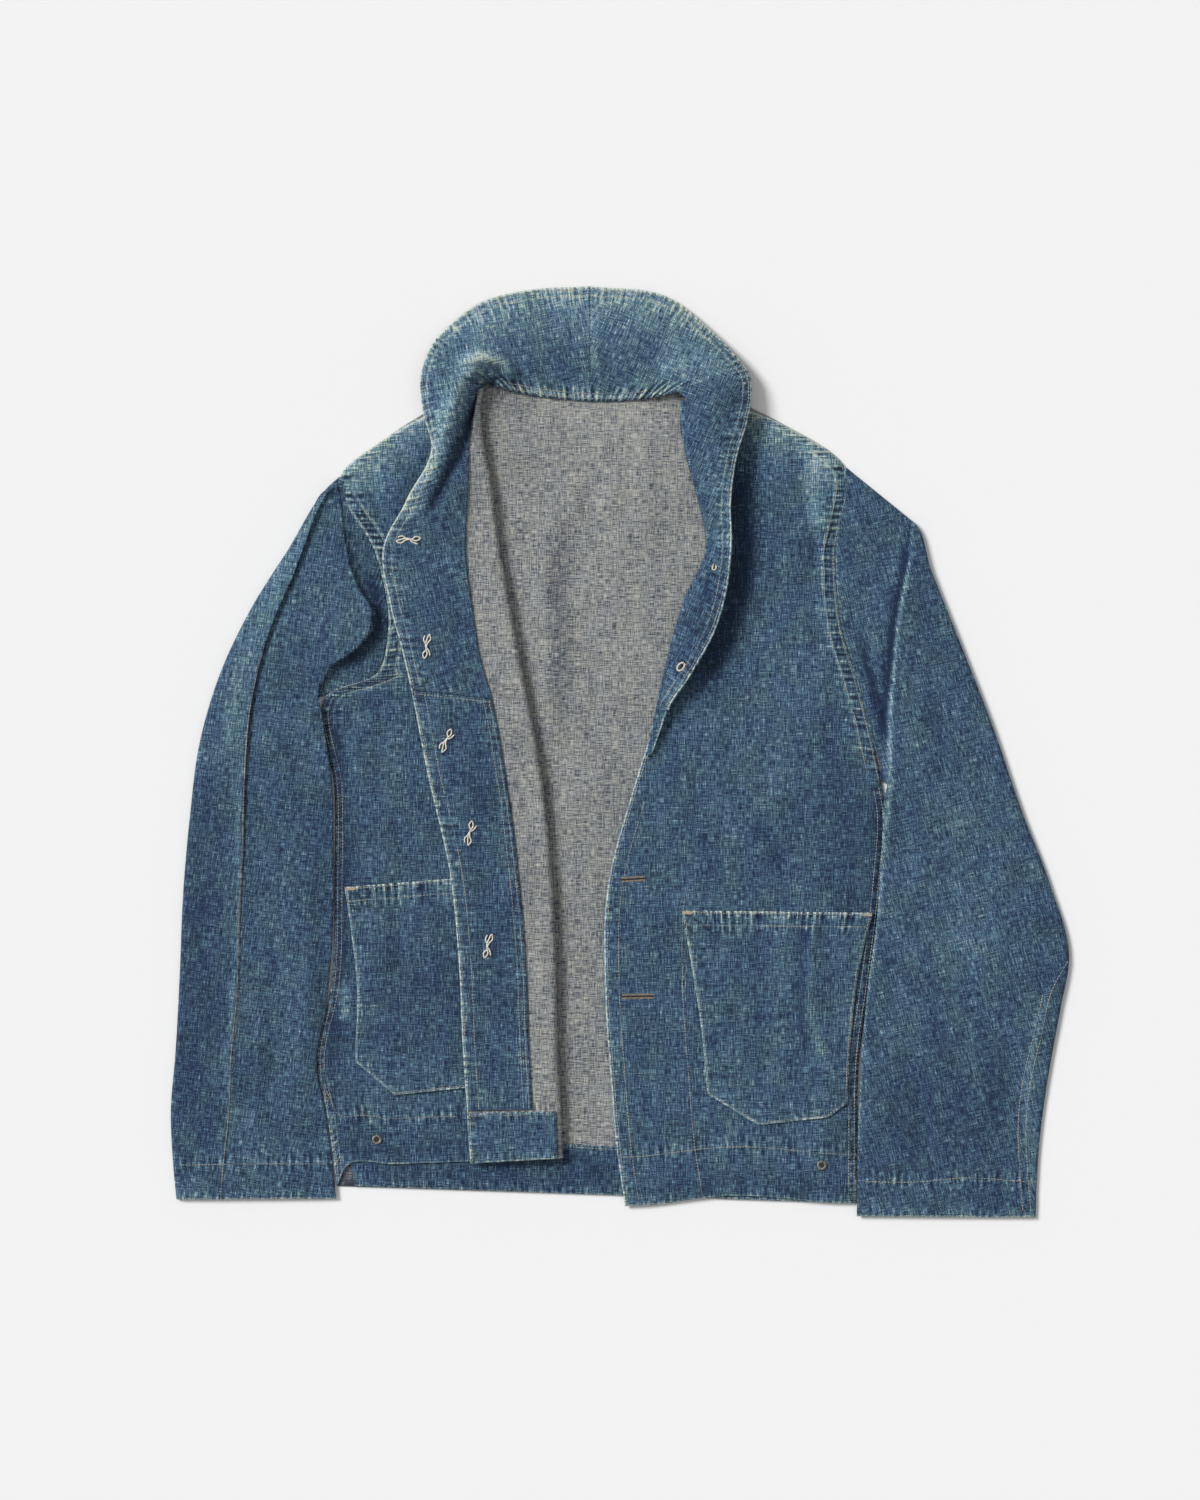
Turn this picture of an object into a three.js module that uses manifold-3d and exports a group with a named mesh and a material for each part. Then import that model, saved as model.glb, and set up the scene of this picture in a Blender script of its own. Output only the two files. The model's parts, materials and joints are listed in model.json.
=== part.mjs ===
// A worn denim work jacket with a shawl collar, laid flat and face up with its front open.
// Millimetres, +Z up. The collar points to +Y and the jacket rests on z = 0.
// Right and left are the wearer's: the jacket lies face up, so its right side is at -X.
import * as THREE from 'three';
import * as BufferGeometryUtils from 'three/addons/utils/BufferGeometryUtils.js';
import Module from 'manifold-3d';

const wasm = await Module();
wasm.setup();

// Cloth and air, as sizes across the wall.
const CLOTH = 1.0;          // denim, one layer
const SEAM_GAP = 0.3;       // between two pieces at a seam
const LAYER = CLOTH + SEAM_GAP;
const ON_PANEL = 1.6;       // middle of a panel to middle of a pocket lying on it
const ON_COLLAR = 1.6;      // middle of the under collar to middle of the upper collar

// Heights of the middle of the cloth above the floor.
const BACK_Z = CLOTH / 2;
const EDGE_Z = BACK_Z + LAYER;    // a front's edge, just over the back
const ARM_Z = 2.6;                // the armhole seam, on the front
const FRONT_Z = 3.7;              // a front lying over the back
const ROLL_LOW = 3.0;             // under the long roll of the right front
const ROLL_RADIUS = 4.2;
const FLAP_Z = 9.7;               // the folded-back half, resting on its buttons
const FLAP_SAG = 1.6;             // it comes down this far from its roll
const FLAP_RIDGE = 12;            // its rise into the collar, near the neck
const FLAP_DROP = 2.4;            // and how far its edge drops there

// Moves the jacket so that its origin is under its middle.
const PLACE = [0.5, -0.665];

// The main seams and edges in plan. Every list runs from the hem up to the neck point, with one
// entry for each station: hem, hem stitch, pocket corner, mid pocket, pocket top, waist, armpit,
// three along the armhole, shoulder point, shoulder and neck point.
const sideRight = [[-255, -390], [-261, -327], [-267, -279], [-260, -209], [-257, -116], [-257, -34],
  [-264, 52], [-217, 74], [-209, 109], [-220, 178], [-252, 248], [-212, 285], [-125, 326]];
const sideLeft = [[213, -405], [213, -356], [215, -272], [221, -209], [230, -116], [227, -43],
  [221, 13], [213, 63], [199, 111], [193, 173], [201, 257], [154, 291], [75, 320]];
const rollRight = [[-52, -364], [-54, -320], [-57, -263], [-58, -196], [-62, -111], [-72, -16],
  [-83, 45], [-91, 86], [-99, 130], [-107, 173], [-117, 247], [-125, 292], [-126, 325]];
const flapEdge = [[-135, -369], [-138, -322], [-142, -259], [-145, -191], [-153, -110], [-174, -16],
  [-188, 56], [-196, 91], [-207, 133], [-213, 184], [-192, 225], [-168, 274], [-176, 306]];
const edgeLeft = [[4, -408], [-3, -360], [-9, -290], [-14, -214], [-11, -117], [9, -41],
  [27, 16], [39, 72], [50, 119], [76, 180], [63, 252], [54, 298], [54, 316]];
const STATIONS = sideRight.length - 1;
const ARMPIT = 6;                 // also where the right side's shawl collar meets its lower facing
const SHOULDER = 10;
const HEM_TURN = 1;               // station of the stitched top of the turned-up hem
const HEM_RISE = 8;               // the left front's hem bows up between its corners
const HEM_CORNER = 17;            // the right front's hem drops this far to its side seam
const EDGE_REACH = 9;             // a front rises from its edge over this distance
const BACK_HEM_INSET = 16;        // the back's turned-up hem stops short of the side seams
const BACK_HEM_SHORT = 12;        // and its top lies this far below the front's hem stitch

// How far across the flap the facing starts, from its roll, as a share of the flap.
const FACING_START = [0.26, 0.26, 0.26, 0.27, 0.29, 0.28, 0.28, 0.31, 0.29, 0.27, 0.22, 0.14, 0.1];

// The lapel on the left front, from its foot to the shoulder: its roll and its free edge in plan,
// then the height of the cloth at the roll, in the middle and at the edge.
const lapelRoll = [[24, -4], [27, 14], [33, 44], [43, 88], [58, 139], [77, 184], [69, 230], [60, 263],
  [54, 294], [54, 316]];
const lapelEdge = [[29, 0], [36, 20], [44, 40], [63, 69], [86, 112], [100, 187], [99, 227], [104, 265],
  [113, 296], [117, 320]];
const lapelRise = [[5.8, 6, 6.4], [6.6, 8, 9], [8, 10, 13], [10, 14, 18], [11, 17, 22], [11, 18, 23],
  [11, 18, 21], [12, 19, 19], [13, 20, 17], [14, 21, 15]];
const LAPEL_SEAM = 2;             // where its shawl collar is joined to the lower facing
const LAPEL_TUCK = 7;             // the panel ends this far inside the lapel's roll
const LAPEL_LAP = 3;              // and the lapel's lower layer this far further in
const LAPEL_CLOTH = 0.98;         // a hair thinner than the panel, so that no two faces meet

// The collar round the back of the neck, from each shoulder to the centre back.
const neckRight = [[-126, 326], [-122, 332], [-111, 330], [-98, 326], [-85, 322.6], [-65, 319.4],
  [-27, 316]];
const neckEdgeRight = [[-176, 307], [-178, 341], [-170, 364], [-153, 384], [-126, 404], [-86, 415],
  [-27, 419]];
const neckRiseRight = [[13, 21, 9], [11, 23, 8.5], [7, 20, 7], [4, 15, 5], [2.2, 11, 3], [1, 8, 1.5],
  [1, 7, 1]];
const neckLeft = [[54, 318], [52, 323.5], [42, 322.5], [22, 318.5], [0, 316.6], [-27, 316]];
const neckEdgeLeft = [[117, 323], [115, 339], [106, 352], [82, 378], [43, 409], [-27, 419]];
const neckRiseLeft = [[14, 21, 15], [10, 20, 12], [6, 16, 9], [2.5, 11, 5], [1, 8.5, 2], [1, 7, 1]];

// The neck edge of the back dips between its two neck points.
const NECK_DIP = 8;

// Each sleeve from its cuff up: the ends of its rows at the body side and at the outer side, and
// the height of its top layer at the body side, in the middle and at the outer side.
const sleeveRightIn = [[-259, -401], [-261, -371], [-266, -326], [-271, -281], [-267, -232], [-263, -182],
  [-261, -133], [-261, -79], [-262, -29], [-267, 9], [-271, 34]];
const sleeveRightOut = [[-399, -402], [-402, -370], [-404, -322], [-400, -272], [-396, -200], [-393, -128],
  [-387, -59], [-378, 9], [-360, 70], [-332, 129], [-300, 180]];
const sleeveRightRise = [[3.4, 4, 3.4], [3.4, 4.2, 3.4], [3.4, 4.6, 3.6], [3.6, 5, 4], [3.8, 5.2, 4.2],
  [4, 5.4, 4.4], [4.4, 5.6, 4.6], [5, 6, 4.8], [6, 7, 5], [7, 8.5, 5], [8, 10, 5]];
// The pressed pleat down the right sleeve, as a share of each row from the body side.
const PLEAT_SHARE = [0.74, 0.7, 0.64, 0.62, 0.62, 0.64, 0.65, 0.68, 0.74, 0.8, 0.86];
const PLEAT_STEP = 2.2;           // outside the pleat the cloth lies this much higher
const PLEAT_SLOPE = 0.025;        // within this share of the row
const SLEEVE_ROLL = 1.8;          // how far the folded edges of a sleeve round over
const ARM_GAP = 0.55;             // between a sleeve and the body, in plan

const sleeveLeftIn = [[215, -417], [215.5, -385], [217, -339], [219, -299], [221, -268], [225, -236],
  [228, -200], [234, -155], [238, -105], [241, -70], [243, -43], [243, -12]];
const sleeveLeftOut = [[373, -418], [374, -385], [378, -335], [386, -281], [395, -232], [403, -182],
  [386, -119], [361, -54], [333, 27], [304, 101], [279, 164], [263, 207]];
const sleeveLeftRise = [[3.4, 4, 3.4], [3.6, 4.4, 3.4], [4, 5, 3.6], [4.6, 5.4, 4], [5, 6, 4.4],
  [5.6, 6.4, 4.6], [6, 7, 4.6], [6.6, 7.4, 4.8], [7.4, 8, 5], [8, 8.6, 5], [8.6, 9.4, 5], [9, 10, 6]];

// Two rows across the top of each sleeve, from armpit to shoulder: the crest of its armpit fold and
// the hollow between that fold and the armhole seam.
const crestRight = [[-271, 48], [-243, 94], [-224, 121], [-243, 158], [-266, 226]];
const hollowRight = [[-267.5, 51], [-234, 82], [-216, 115], [-230, 165], [-257, 240]];
const crestRightRise = [9, 12.5, 13.5, 12.5, 5];
const hollowRightRise = [3.4, 3.6, 3.6, 3.8, 3.6];
const hollowLeft = [[239, -8], [243, 48], [243, 101], [246, 151], [257, 212]];
const hollowLeftRise = [3.6, 3.8, 3.8, 3.8, 3.6];

// The patch pockets: their two sides, from the bottom edge up.
const pocketRightLeft = [[-201, -306], [-238, -277], [-237, -209], [-243, -155], [-248, -121]];
const pocketRightRight = [[-126, -298], [-90, -268], [-83, -209], [-78, -155], [-74, -107]];
const pocketLeftLeft = [[124, -335], [78, -307], [72, -244], [63, -187], [55, -142]];
const pocketLeftRight = [[186, -326], [204, -313], [203, -259], [212, -187], [228, -144]];

// A soft ridge down the left front and its pocket, from the hem up.
const ridgeLine = [[184, -405], [185, -310], [182, -250], [175, -187], [172, -139], [171, -40]];
const RIDGE_HEIGHT = 2.5;
const RIDGE_WIDTH = 20;
const RIDGE_STEP = 14;
const RIDGE_FADE = { foot: [-390, -310], top: [-150, -50] };

const BUTTON_RADIUS = 8.5;
const BUTTON_THICK = 2.4;
const BUTTON_Z = 6.2;
const buttons = [[-190, 191], [-174, 95], [-156, 11], [-135, -72], [-119, -174]];
const EYELET_OUTER = 4.6;
const EYELET_HOLE = 2.1;
const EYELET_THICK = 0.9;
const eyelets = { right: [-219, -348], left: [181, -371] };

const vec = (p, z = 0) => new THREE.Vector3(p[0], p[1], z);
const mix = (a, b, s) => a + (b - a) * s;
const mix2 = (a, b, s) => [mix(a[0], b[0], s), mix(a[1], b[1], s)];

// A list of numbers, or of plan points, read at a fractional entry along a smooth curve.
function along(list, at) {
  const points = list.map((p) => (Array.isArray(p)
    ? new THREE.Vector3(p[0], p[1], p[2] ?? 0) : new THREE.Vector3(p, 0, 0)));
  const curve = new THREE.CatmullRomCurve3(points, false, 'catmullrom', 0.35);
  const p = curve.getPoint(THREE.MathUtils.clamp(at / (list.length - 1), 0, 1));
  return Array.isArray(list[0]) ? p.toArray() : p.x;
}

// The normal of a grid of points at one of them, from its neighbours along and across.
function normalAt(rows, i, j, ring) {
  const n = rows[i].length;
  const before = ring ? (j + n - 1) % n : Math.max(j - 1, 0);
  const after = ring ? (j + 1) % n : Math.min(j + 1, n - 1);
  const across = rows[i][after].clone().sub(rows[i][before]);
  const up = rows[Math.min(i + 1, rows.length - 1)][j].clone().sub(rows[Math.max(i - 1, 0)][j]);
  return across.cross(up).normalize();
}

// Rows of points moved out along their normals, such as a facing on its panel.
function movedOut(rows, distance) {
  return rows.map((row, i) => (
    row.map((p, j) => p.clone().addScaledVector(normalAt(rows, i, j, false), distance))));
}

// A closed wall of cloth round a grid of points on its middle. A ring is a tube with open ends.
function clothGeometry(rows, ring = false, thick = CLOTH) {
  const m = rows.length;
  const n = rows[0].length;
  const position = [];
  for (const side of [0.5, -0.5]) {
    rows.forEach((row, i) => row.forEach((p, j) => {
      position.push(...p.clone().addScaledVector(normalAt(rows, i, j, ring), side * thick).toArray());
    }));
  }
  const index = [];
  const quad = (a, b, c, d) => index.push(a, b, c, a, c, d);
  const inner = m * n;
  const columns = ring ? n : n - 1;
  for (let i = 0; i < m - 1; i++) {
    for (let j = 0; j < columns; j++) {
      const a = i * n + j;
      const b = i * n + ((j + 1) % n);
      quad(a, b, b + n, a + n);
      quad(inner + a, inner + a + n, inner + b + n, inner + b);
    }
  }
  for (let j = 0; j < columns; j++) {
    const k = (j + 1) % n;
    const last = (m - 1) * n;
    quad(j, inner + j, inner + k, k);
    quad(last + j, last + k, inner + last + k, inner + last + j);
  }
  if (!ring) {
    for (let i = 0; i < m - 1; i++) {
      const a = i * n;
      const b = a + n - 1;
      quad(a, a + n, inner + a + n, inner + a);
      quad(b, inner + b, inner + b + n, b + n);
    }
  }
  const geometry = new THREE.BufferGeometry();
  geometry.setAttribute('position', new THREE.Float32BufferAttribute(position, 3));
  geometry.setIndex(index);
  return geometry;
}

// Two closed pieces of the same cloth, fused into one.
function fused(a, b) {
  const solid = (geometry) => {
    const merged = BufferGeometryUtils.mergeVertices(geometry);
    return new wasm.Manifold(new wasm.Mesh({
      numProp: 3,
      vertProperties: new Float32Array(merged.attributes.position.array),
      triVerts: new Uint32Array(merged.index.array),
    }));
  };
  const mesh = solid(a).add(solid(b)).getMesh();
  const geometry = new THREE.BufferGeometry();
  geometry.setAttribute('position', new THREE.Float32BufferAttribute(mesh.vertProperties, 3));
  geometry.setIndex(new THREE.Uint32BufferAttribute(mesh.triVerts, 1));
  return geometry;
}

// Every station from the first to the last, with one halfway between each two.
const stations = (last) => Array.from({ length: 2 * last + 1 }, (_, k) => k / 2);
const rowOf = (at) => 2 * at;

// The left front rises in a soft ridge from its waist to the hem, which its pocket follows.
function ridgeX(y) {
  const k = Math.max(ridgeLine.findIndex((p, i) => i > 0 && y <= p[1]), 1);
  const [low, high] = [ridgeLine[k - 1], ridgeLine[k]];
  return mix(low[0], high[0], THREE.MathUtils.clamp((y - low[1]) / (high[1] - low[1]), 0, 1));
}
function leftFrontZ(x, y) {
  const { smoothstep } = THREE.MathUtils;
  const fade = smoothstep(y, ...RIDGE_FADE.foot) * (1 - smoothstep(y, ...RIDGE_FADE.top));
  return FRONT_Z + RIDGE_HEIGHT * fade * Math.exp(-(((x - ridgeX(y)) / RIDGE_WIDTH) ** 2));
}

// The height of a front's outer edge: low at the side and shoulder, higher along the armhole.
const bodyEdgeZ = (at) => (at > ARMPIT && at < SHOULDER ? ARM_Z : EDGE_Z);

// The back: one flat layer, its wrong side up, with a dip at the neck.
function back() {
  const columns = 11;
  const rows = stations(STATIONS).map((at) => {
    const left = along(sideRight, at);
    const right = along(sideLeft, at);
    const dip = NECK_DIP * Math.max(0, (at - SHOULDER - 1) / (STATIONS - SHOULDER - 1));
    return Array.from({ length: columns }, (_, j) => {
      const s = j / (columns - 1);
      const [x, y] = mix2(left, right, s);
      return vec([x, y - dip * Math.sin(Math.PI * s)], BACK_Z);
    });
  });
  return clothGeometry(rows);
}

// The turned-up hem of the back, which shows inside it.
function backHem() {
  const columns = 9;
  const rows = [0, HEM_TURN].map((at) => {
    const left = along(sideRight, at);
    const right = along(sideLeft, at);
    const down = at < HEM_TURN ? 0 : BACK_HEM_SHORT;
    return Array.from({ length: columns }, (_, j) => {
      const s = j / (columns - 1);
      const x = mix(left[0] + BACK_HEM_INSET, right[0] - BACK_HEM_INSET, s);
      return vec([x, mix(left[1], right[1], s) - down], BACK_Z + LAYER);
    });
  });
  return clothGeometry(rows);
}

// Where the facing starts on the flap's own grid.
const flapShares = (at) => {
  const start = along(FACING_START, at);
  return [0.1, start, mix(start, 1, 0.25), mix(start, 1, 0.5), mix(start, 1, 0.75), 1];
};
const FACING_COLUMNS = 5;

// The height of the folded-back half. Towards the neck it rises into the collar's ridge, while its
// edge drops onto the front below.
function flapZ(at, s) {
  const neck = THREE.MathUtils.smoothstep(at, 8.6, 11);
  const plain = FLAP_Z + FLAP_SAG * (1 - s) ** 2;
  const ridge = FLAP_RIDGE * neck * Math.sin(Math.PI * Math.min(1, s ** 1.5)) ** 0.8;
  const drop = (at > SHOULDER + 1 ? 0.5 : FLAP_DROP) * neck * s ** 4;
  return plain + ridge - drop;
}

// The right front, from its side seam across to the long roll and back over itself.
function rightFrontRows() {
  return stations(STATIONS).map((at) => {
    const side = along(sideRight, at);
    const roll = along(rollRight, at);
    const edge = along(flapEdge, at);
    const into = vec(side).sub(vec(roll)).normalize();
    const up = at === 0 ? HEM_CORNER : 0;
    const nearSide = [side[0] - into.x * EDGE_REACH, side[1] - into.y * EDGE_REACH + up];
    const nearRoll = [roll[0] + into.x * ROLL_RADIUS, roll[1] + into.y * ROLL_RADIUS];
    const row = [vec(side, bodyEdgeZ(at))];
    for (let k = 0; k <= 4; k++) {
      row.push(vec(mix2(nearSide, nearRoll, 0.9 * (k / 4)), FRONT_Z));
    }
    for (const turn of [-90, -30, 30, 90]) {
      const angle = THREE.MathUtils.degToRad(turn);
      const reach = ROLL_RADIUS * (1 - Math.cos(angle));
      const z = ROLL_LOW + ROLL_RADIUS + ROLL_RADIUS * Math.sin(angle);
      row.push(vec([roll[0] + into.x * reach, roll[1] + into.y * reach], z));
    }
    for (const s of flapShares(at)) {
      row.push(vec(mix2(nearRoll, edge, s), flapZ(at, s)));
    }
    return row;
  });
}

// The left front below its lapel: edge, pocket ridge and side.
function leftFrontRows() {
  return stations(STATIONS).map((at) => {
    const side = along(sideLeft, at);
    const foldLine = along(edgeLeft, at);
    const into = vec(foldLine).sub(vec(side)).normalize();
    const tuck = at > ARMPIT ? LAPEL_TUCK : 0;
    const edge = [foldLine[0] - into.x * tuck, foldLine[1] - into.y * tuck];
    const nearSide = [side[0] + into.x * EDGE_REACH, side[1] + into.y * EDGE_REACH];
    const width = nearSide[0] - edge[0];
    const step = Math.min(RIDGE_STEP / width, 0.15);
    const ridge = Math.min((ridgeX(side[1]) - edge[0]) / width, 1 - 1.5 * step);
    const row = [];
    for (const s of [0, ridge / 3, ridge / 1.6, ridge - 2 * step, ridge - step, ridge, ridge + step, 1]) {
      const [x, y] = mix2(edge, nearSide, s);
      const rise = at === 0 ? HEM_RISE * Math.sin(Math.PI * s) ** 2 : 0;
      row.push(vec([x, y + rise], leftFrontZ(x, y)));
    }
    row.push(vec(side, bodyEdgeZ(at)));
    return row;
  });
}

// Rows of a lapel or collar: from its inner line, over its middle, out to its free edge.
const COLLAR_SHARES = [0, 0.25, 0.5, 0.75, 1];
function collarRow(inner, outer, rise) {
  return COLLAR_SHARES.map((s) => {
    const z = (1 - s) * (1 - 2 * s) * rise[0] + 4 * s * (1 - s) * rise[1] + s * (2 * s - 1) * rise[2];
    return vec(mix2(inner, outer, s), z);
  });
}

// The lapel's under layer is the left front's own cloth, rolled over at the edge.
function lapelRows() {
  return stations(lapelRoll.length - 1).map((at) => {
    const roll = along(lapelRoll, at);
    const edge = along(lapelEdge, at);
    const rise = along(lapelRise, at);
    const out = vec(edge).sub(vec(roll)).normalize();
    const radius = (rise[0] - FRONT_Z) / 2;
    const place = (reach) => [roll[0] + out.x * reach, roll[1] + out.y * reach];
    const row = [vec(place(radius + LAPEL_TUCK + LAPEL_LAP), FRONT_Z)];
    for (const turn of [-90, -30, 30]) {
      const angle = THREE.MathUtils.degToRad(turn);
      row.push(vec(place(radius * (1 - Math.cos(angle))), FRONT_Z + radius + radius * Math.sin(angle)));
    }
    row.push(...collarRow(place(radius), edge, rise));
    return row;
  });
}

// The under collar on one side, from the shoulder to the centre back.
function neckRows(inner, edge, rise) {
  return stations(inner.length - 1).map((at) => (
    collarRow(along(inner, at), along(edge, at), along(rise, at))));
}

// Apart from its neighbour at the seam.
function startedLater(rows, gap) {
  const first = rows[0].map((p, j) => p.clone().add(rows[1][j].clone().sub(p).setLength(gap)));
  return [first, ...rows.slice(1)];
}
function endedSooner(rows, gap) {
  return startedLater([...rows].reverse(), gap).reverse();
}

// A patch pocket on its panel, between its two sides.
function pocket(left, right, height) {
  const columns = 12;
  const rows = stations(left.length - 1).map((at) => (
    Array.from({ length: columns }, (_, j) => {
      const [x, y] = mix2(along(left, at), along(right, at), j / (columns - 1));
      return vec([x, y], height(x, y) + ON_PANEL);
    })
  ));
  return clothGeometry(rows);
}

// The armhole seam in plan, at the nine points that body and sleeve share.
const ARM_POINTS = 9;
const armhole = (side) => Array.from({ length: ARM_POINTS }, (_, k) => along(side, ARMPIT + k / 2));

// A sleeve, laid flat: a tube with a top and a bottom layer. Each row in plan runs from the body
// side to the outer side, and ends at the armhole in the seam's own points.
function sleeve(rowsInPlan, topHeights, leftSide) {
  const rows = rowsInPlan.map((plan, i) => {
    const top = plan.map((p, k) => vec(p, topHeights[i][k]));
    const bottom = plan.map((p) => vec(p, BACK_Z));
    const last = ARM_POINTS - 1;
    const inner = vec(plan[0], (topHeights[i][0] + BACK_Z) / 2);
    const outer = vec(plan[last], (topHeights[i][last] + BACK_Z) / 2);
    for (const [k, toward] of [[0, 1], [last, last - 1]]) {
      const inward = vec(plan[toward]).sub(vec(plan[k])).setLength(SLEEVE_ROLL);
      top[k].add(inward);
      bottom[k].add(inward);
    }
    const loop = [inner, ...bottom, outer, ...top.reverse()];
    return leftSide ? loop.reverse() : loop;
  });
  return clothGeometry(rows, true);
}

// The armhole row of a sleeve, a seam gap away from the body.
function armRow(side, toward) {
  return armhole(side).map((p, k, all) => {
    const a = all[Math.max(k - 1, 0)];
    const b = all[Math.min(k + 1, ARM_POINTS - 1)];
    const length = Math.hypot(b[0] - a[0], b[1] - a[1]);
    const step = (toward * ARM_GAP) / length;
    return [p[0] + step * (b[1] - a[1]), p[1] - step * (b[0] - a[0])];
  });
}

const share = (k) => k / (ARM_POINTS - 1);
// From the body side up to the middle of the row, and down again to the outer side.
const risen = (rise, s) => (s < 0.5
  ? mix(rise[0], rise[1], Math.sqrt(s * 2)) : mix(rise[1], rise[2], (s * 2 - 1) ** 2));
const across = (list, k) => along(list, share(k) * (list.length - 1));
const eachPoint = (make) => Array.from({ length: ARM_POINTS }, (_, k) => make(k));

function rightSleeve() {
  const plans = [];
  const heights = [];
  for (let i = 0; i < sleeveRightIn.length; i++) {
    const pleat = PLEAT_SHARE[i];
    const shares = [0, 0.2, 0.4, 0.6, 0.8, 1].map((s) => s * pleat);
    shares.push(pleat + PLEAT_SLOPE, (1 + pleat) / 2, 1);
    const step = (s) => (s > pleat && s < 1 ? PLEAT_STEP : 0);
    plans.push(shares.map((s) => mix2(sleeveRightIn[i], sleeveRightOut[i], s)));
    heights.push(shares.map((s) => risen(sleeveRightRise[i], s) + step(s)));
  }
  plans.push(eachPoint((k) => across(crestRight, k)), eachPoint((k) => across(hollowRight, k)));
  heights.push(eachPoint((k) => across(crestRightRise, k)), eachPoint((k) => across(hollowRightRise, k)));
  plans.push(armRow(sideRight, -1));
  heights.push(eachPoint(() => ARM_Z));
  return sleeve(plans, heights, false);
}

function leftSleeve() {
  const plans = [];
  const heights = [];
  for (let i = 0; i < sleeveLeftIn.length; i++) {
    plans.push(eachPoint((k) => mix2(sleeveLeftIn[i], sleeveLeftOut[i], share(k))));
    heights.push(eachPoint((k) => risen(sleeveLeftRise[i], share(k))));
  }
  plans.push(eachPoint((k) => across(hollowLeft, k)), armRow(sideLeft, 1));
  heights.push(eachPoint((k) => across(hollowLeftRise, k)), eachPoint(() => ARM_Z));
  return sleeve(plans, heights, true);
}

// A button: a disc with a raised rim and a dished middle.
function button([x, y]) {
  const r = BUTTON_RADIUS;
  const profile = [[0, 0], [r - 1, 0], [r, 0.8], [r, BUTTON_THICK - 0.6], [r - 0.8, BUTTON_THICK],
    [r - 2, BUTTON_THICK], [r - 3, BUTTON_THICK - 0.7], [0, BUTTON_THICK - 0.7]];
  const geometry = new THREE.LatheGeometry(profile.map((p) => new THREE.Vector2(p[0], p[1])), 20);
  return geometry.rotateX(Math.PI / 2).translate(x, y, BUTTON_Z);
}

// A metal eyelet ring, pressed into a front's hem.
function eyelet([x, y], z) {
  const profile = [[EYELET_HOLE, 0], [EYELET_OUTER, 0], [EYELET_OUTER - 0.4, EYELET_THICK * 0.7],
    [(EYELET_OUTER + EYELET_HOLE) / 2, EYELET_THICK], [EYELET_HOLE, EYELET_THICK * 0.6], [EYELET_HOLE, 0]];
  const geometry = new THREE.LatheGeometry(profile.map((p) => new THREE.Vector2(p[0], p[1])), 16);
  return geometry.rotateX(Math.PI / 2).translate(x, y, z);
}

// Indigo outside, grey-beige inside, dark tack buttons and bare metal rings.
const denim = new THREE.MeshStandardMaterial({ color: 0x3c5d7c, roughness: 0.95, metalness: 0 });
const inside = new THREE.MeshStandardMaterial({ color: 0x8d8f8e, roughness: 0.95, metalness: 0 });
const metal = new THREE.MeshStandardMaterial({ color: 0x8a8375, roughness: 0.45, metalness: 0.9 });
const tack = new THREE.MeshStandardMaterial({ color: 0x5a4a3a, roughness: 0.4, metalness: 0.8 });

const jacket = new THREE.Group();
function sew(name, geometry, material) {
  const mesh = new THREE.Mesh(geometry, material);
  mesh.name = name;
  jacket.add(mesh);
}

sew('back', back(), inside);
sew('back_hem', backHem(), denim);

const rightFront = rightFrontRows();
sew('front_right', clothGeometry(rightFront), denim);
const onFlap = movedOut(rightFront, -LAYER);
const facing = onFlap.slice(rowOf(HEM_TURN), rowOf(ARMPIT) + 1).map((row) => row.slice(-FACING_COLUMNS));
const turnUp = onFlap.slice(0, rowOf(HEM_TURN) + 1).map((row) => row.slice(-FACING_COLUMNS - 1));
sew('facing_right', clothGeometry(endedSooner(facing, SEAM_GAP)), denim);
sew('front_right_hem', clothGeometry(endedSooner(turnUp, SEAM_GAP)), denim);

const lapel = lapelRows();
sew('front_left', fused(clothGeometry(leftFrontRows()), clothGeometry(lapel, false, LAPEL_CLOTH)), denim);

// The under collar goes on from the flap and the lapel, and the upper collar lies over all three.
function sewCollar(side, frontRows, neck, up, seam) {
  const front = frontRows.map((row) => row.slice(-COLLAR_SHARES.length));
  const start = front[front.length - 1];
  const under = [start, ...neck.slice(1)];
  sew(`under_collar_${side}`, clothGeometry(endedSooner(startedLater(under, 3 * SEAM_GAP), SEAM_GAP)), denim);
  const upper = movedOut([...front, ...neck.slice(1)], up * ON_COLLAR).slice(rowOf(seam));
  sew(`collar_${side}`, clothGeometry(endedSooner(upper, SEAM_GAP)), denim);
}
sewCollar('right', rightFront, neckRows(neckRight, neckEdgeRight, neckRiseRight), -1, ARMPIT);
sewCollar('left', lapel, neckRows(neckLeft, neckEdgeLeft, neckRiseLeft), 1, LAPEL_SEAM);
const lapelFoot = movedOut(lapel, ON_COLLAR).slice(0, rowOf(LAPEL_SEAM) + 1);
const lapelFacing = lapelFoot.map((row) => row.slice(-COLLAR_SHARES.length));
sew('facing_left', clothGeometry(endedSooner(lapelFacing, SEAM_GAP)), denim);

sew('pocket_right', pocket(pocketRightLeft, pocketRightRight, () => FRONT_Z), denim);
sew('pocket_left', pocket(pocketLeftLeft, pocketLeftRight, leftFrontZ), denim);
sew('sleeve_right', rightSleeve(), denim);
sew('sleeve_left', leftSleeve(), denim);

buttons.forEach((place, k) => sew(`button_${k + 1}`, button(place), tack));
sew('eyelet_right', eyelet(eyelets.right, FRONT_Z + LAYER / 2 + SEAM_GAP), metal);
sew('eyelet_left', eyelet(eyelets.left, leftFrontZ(...eyelets.left) + LAYER / 2 + SEAM_GAP), metal);

jacket.position.set(...PLACE, 0);

export default jacket;
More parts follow.
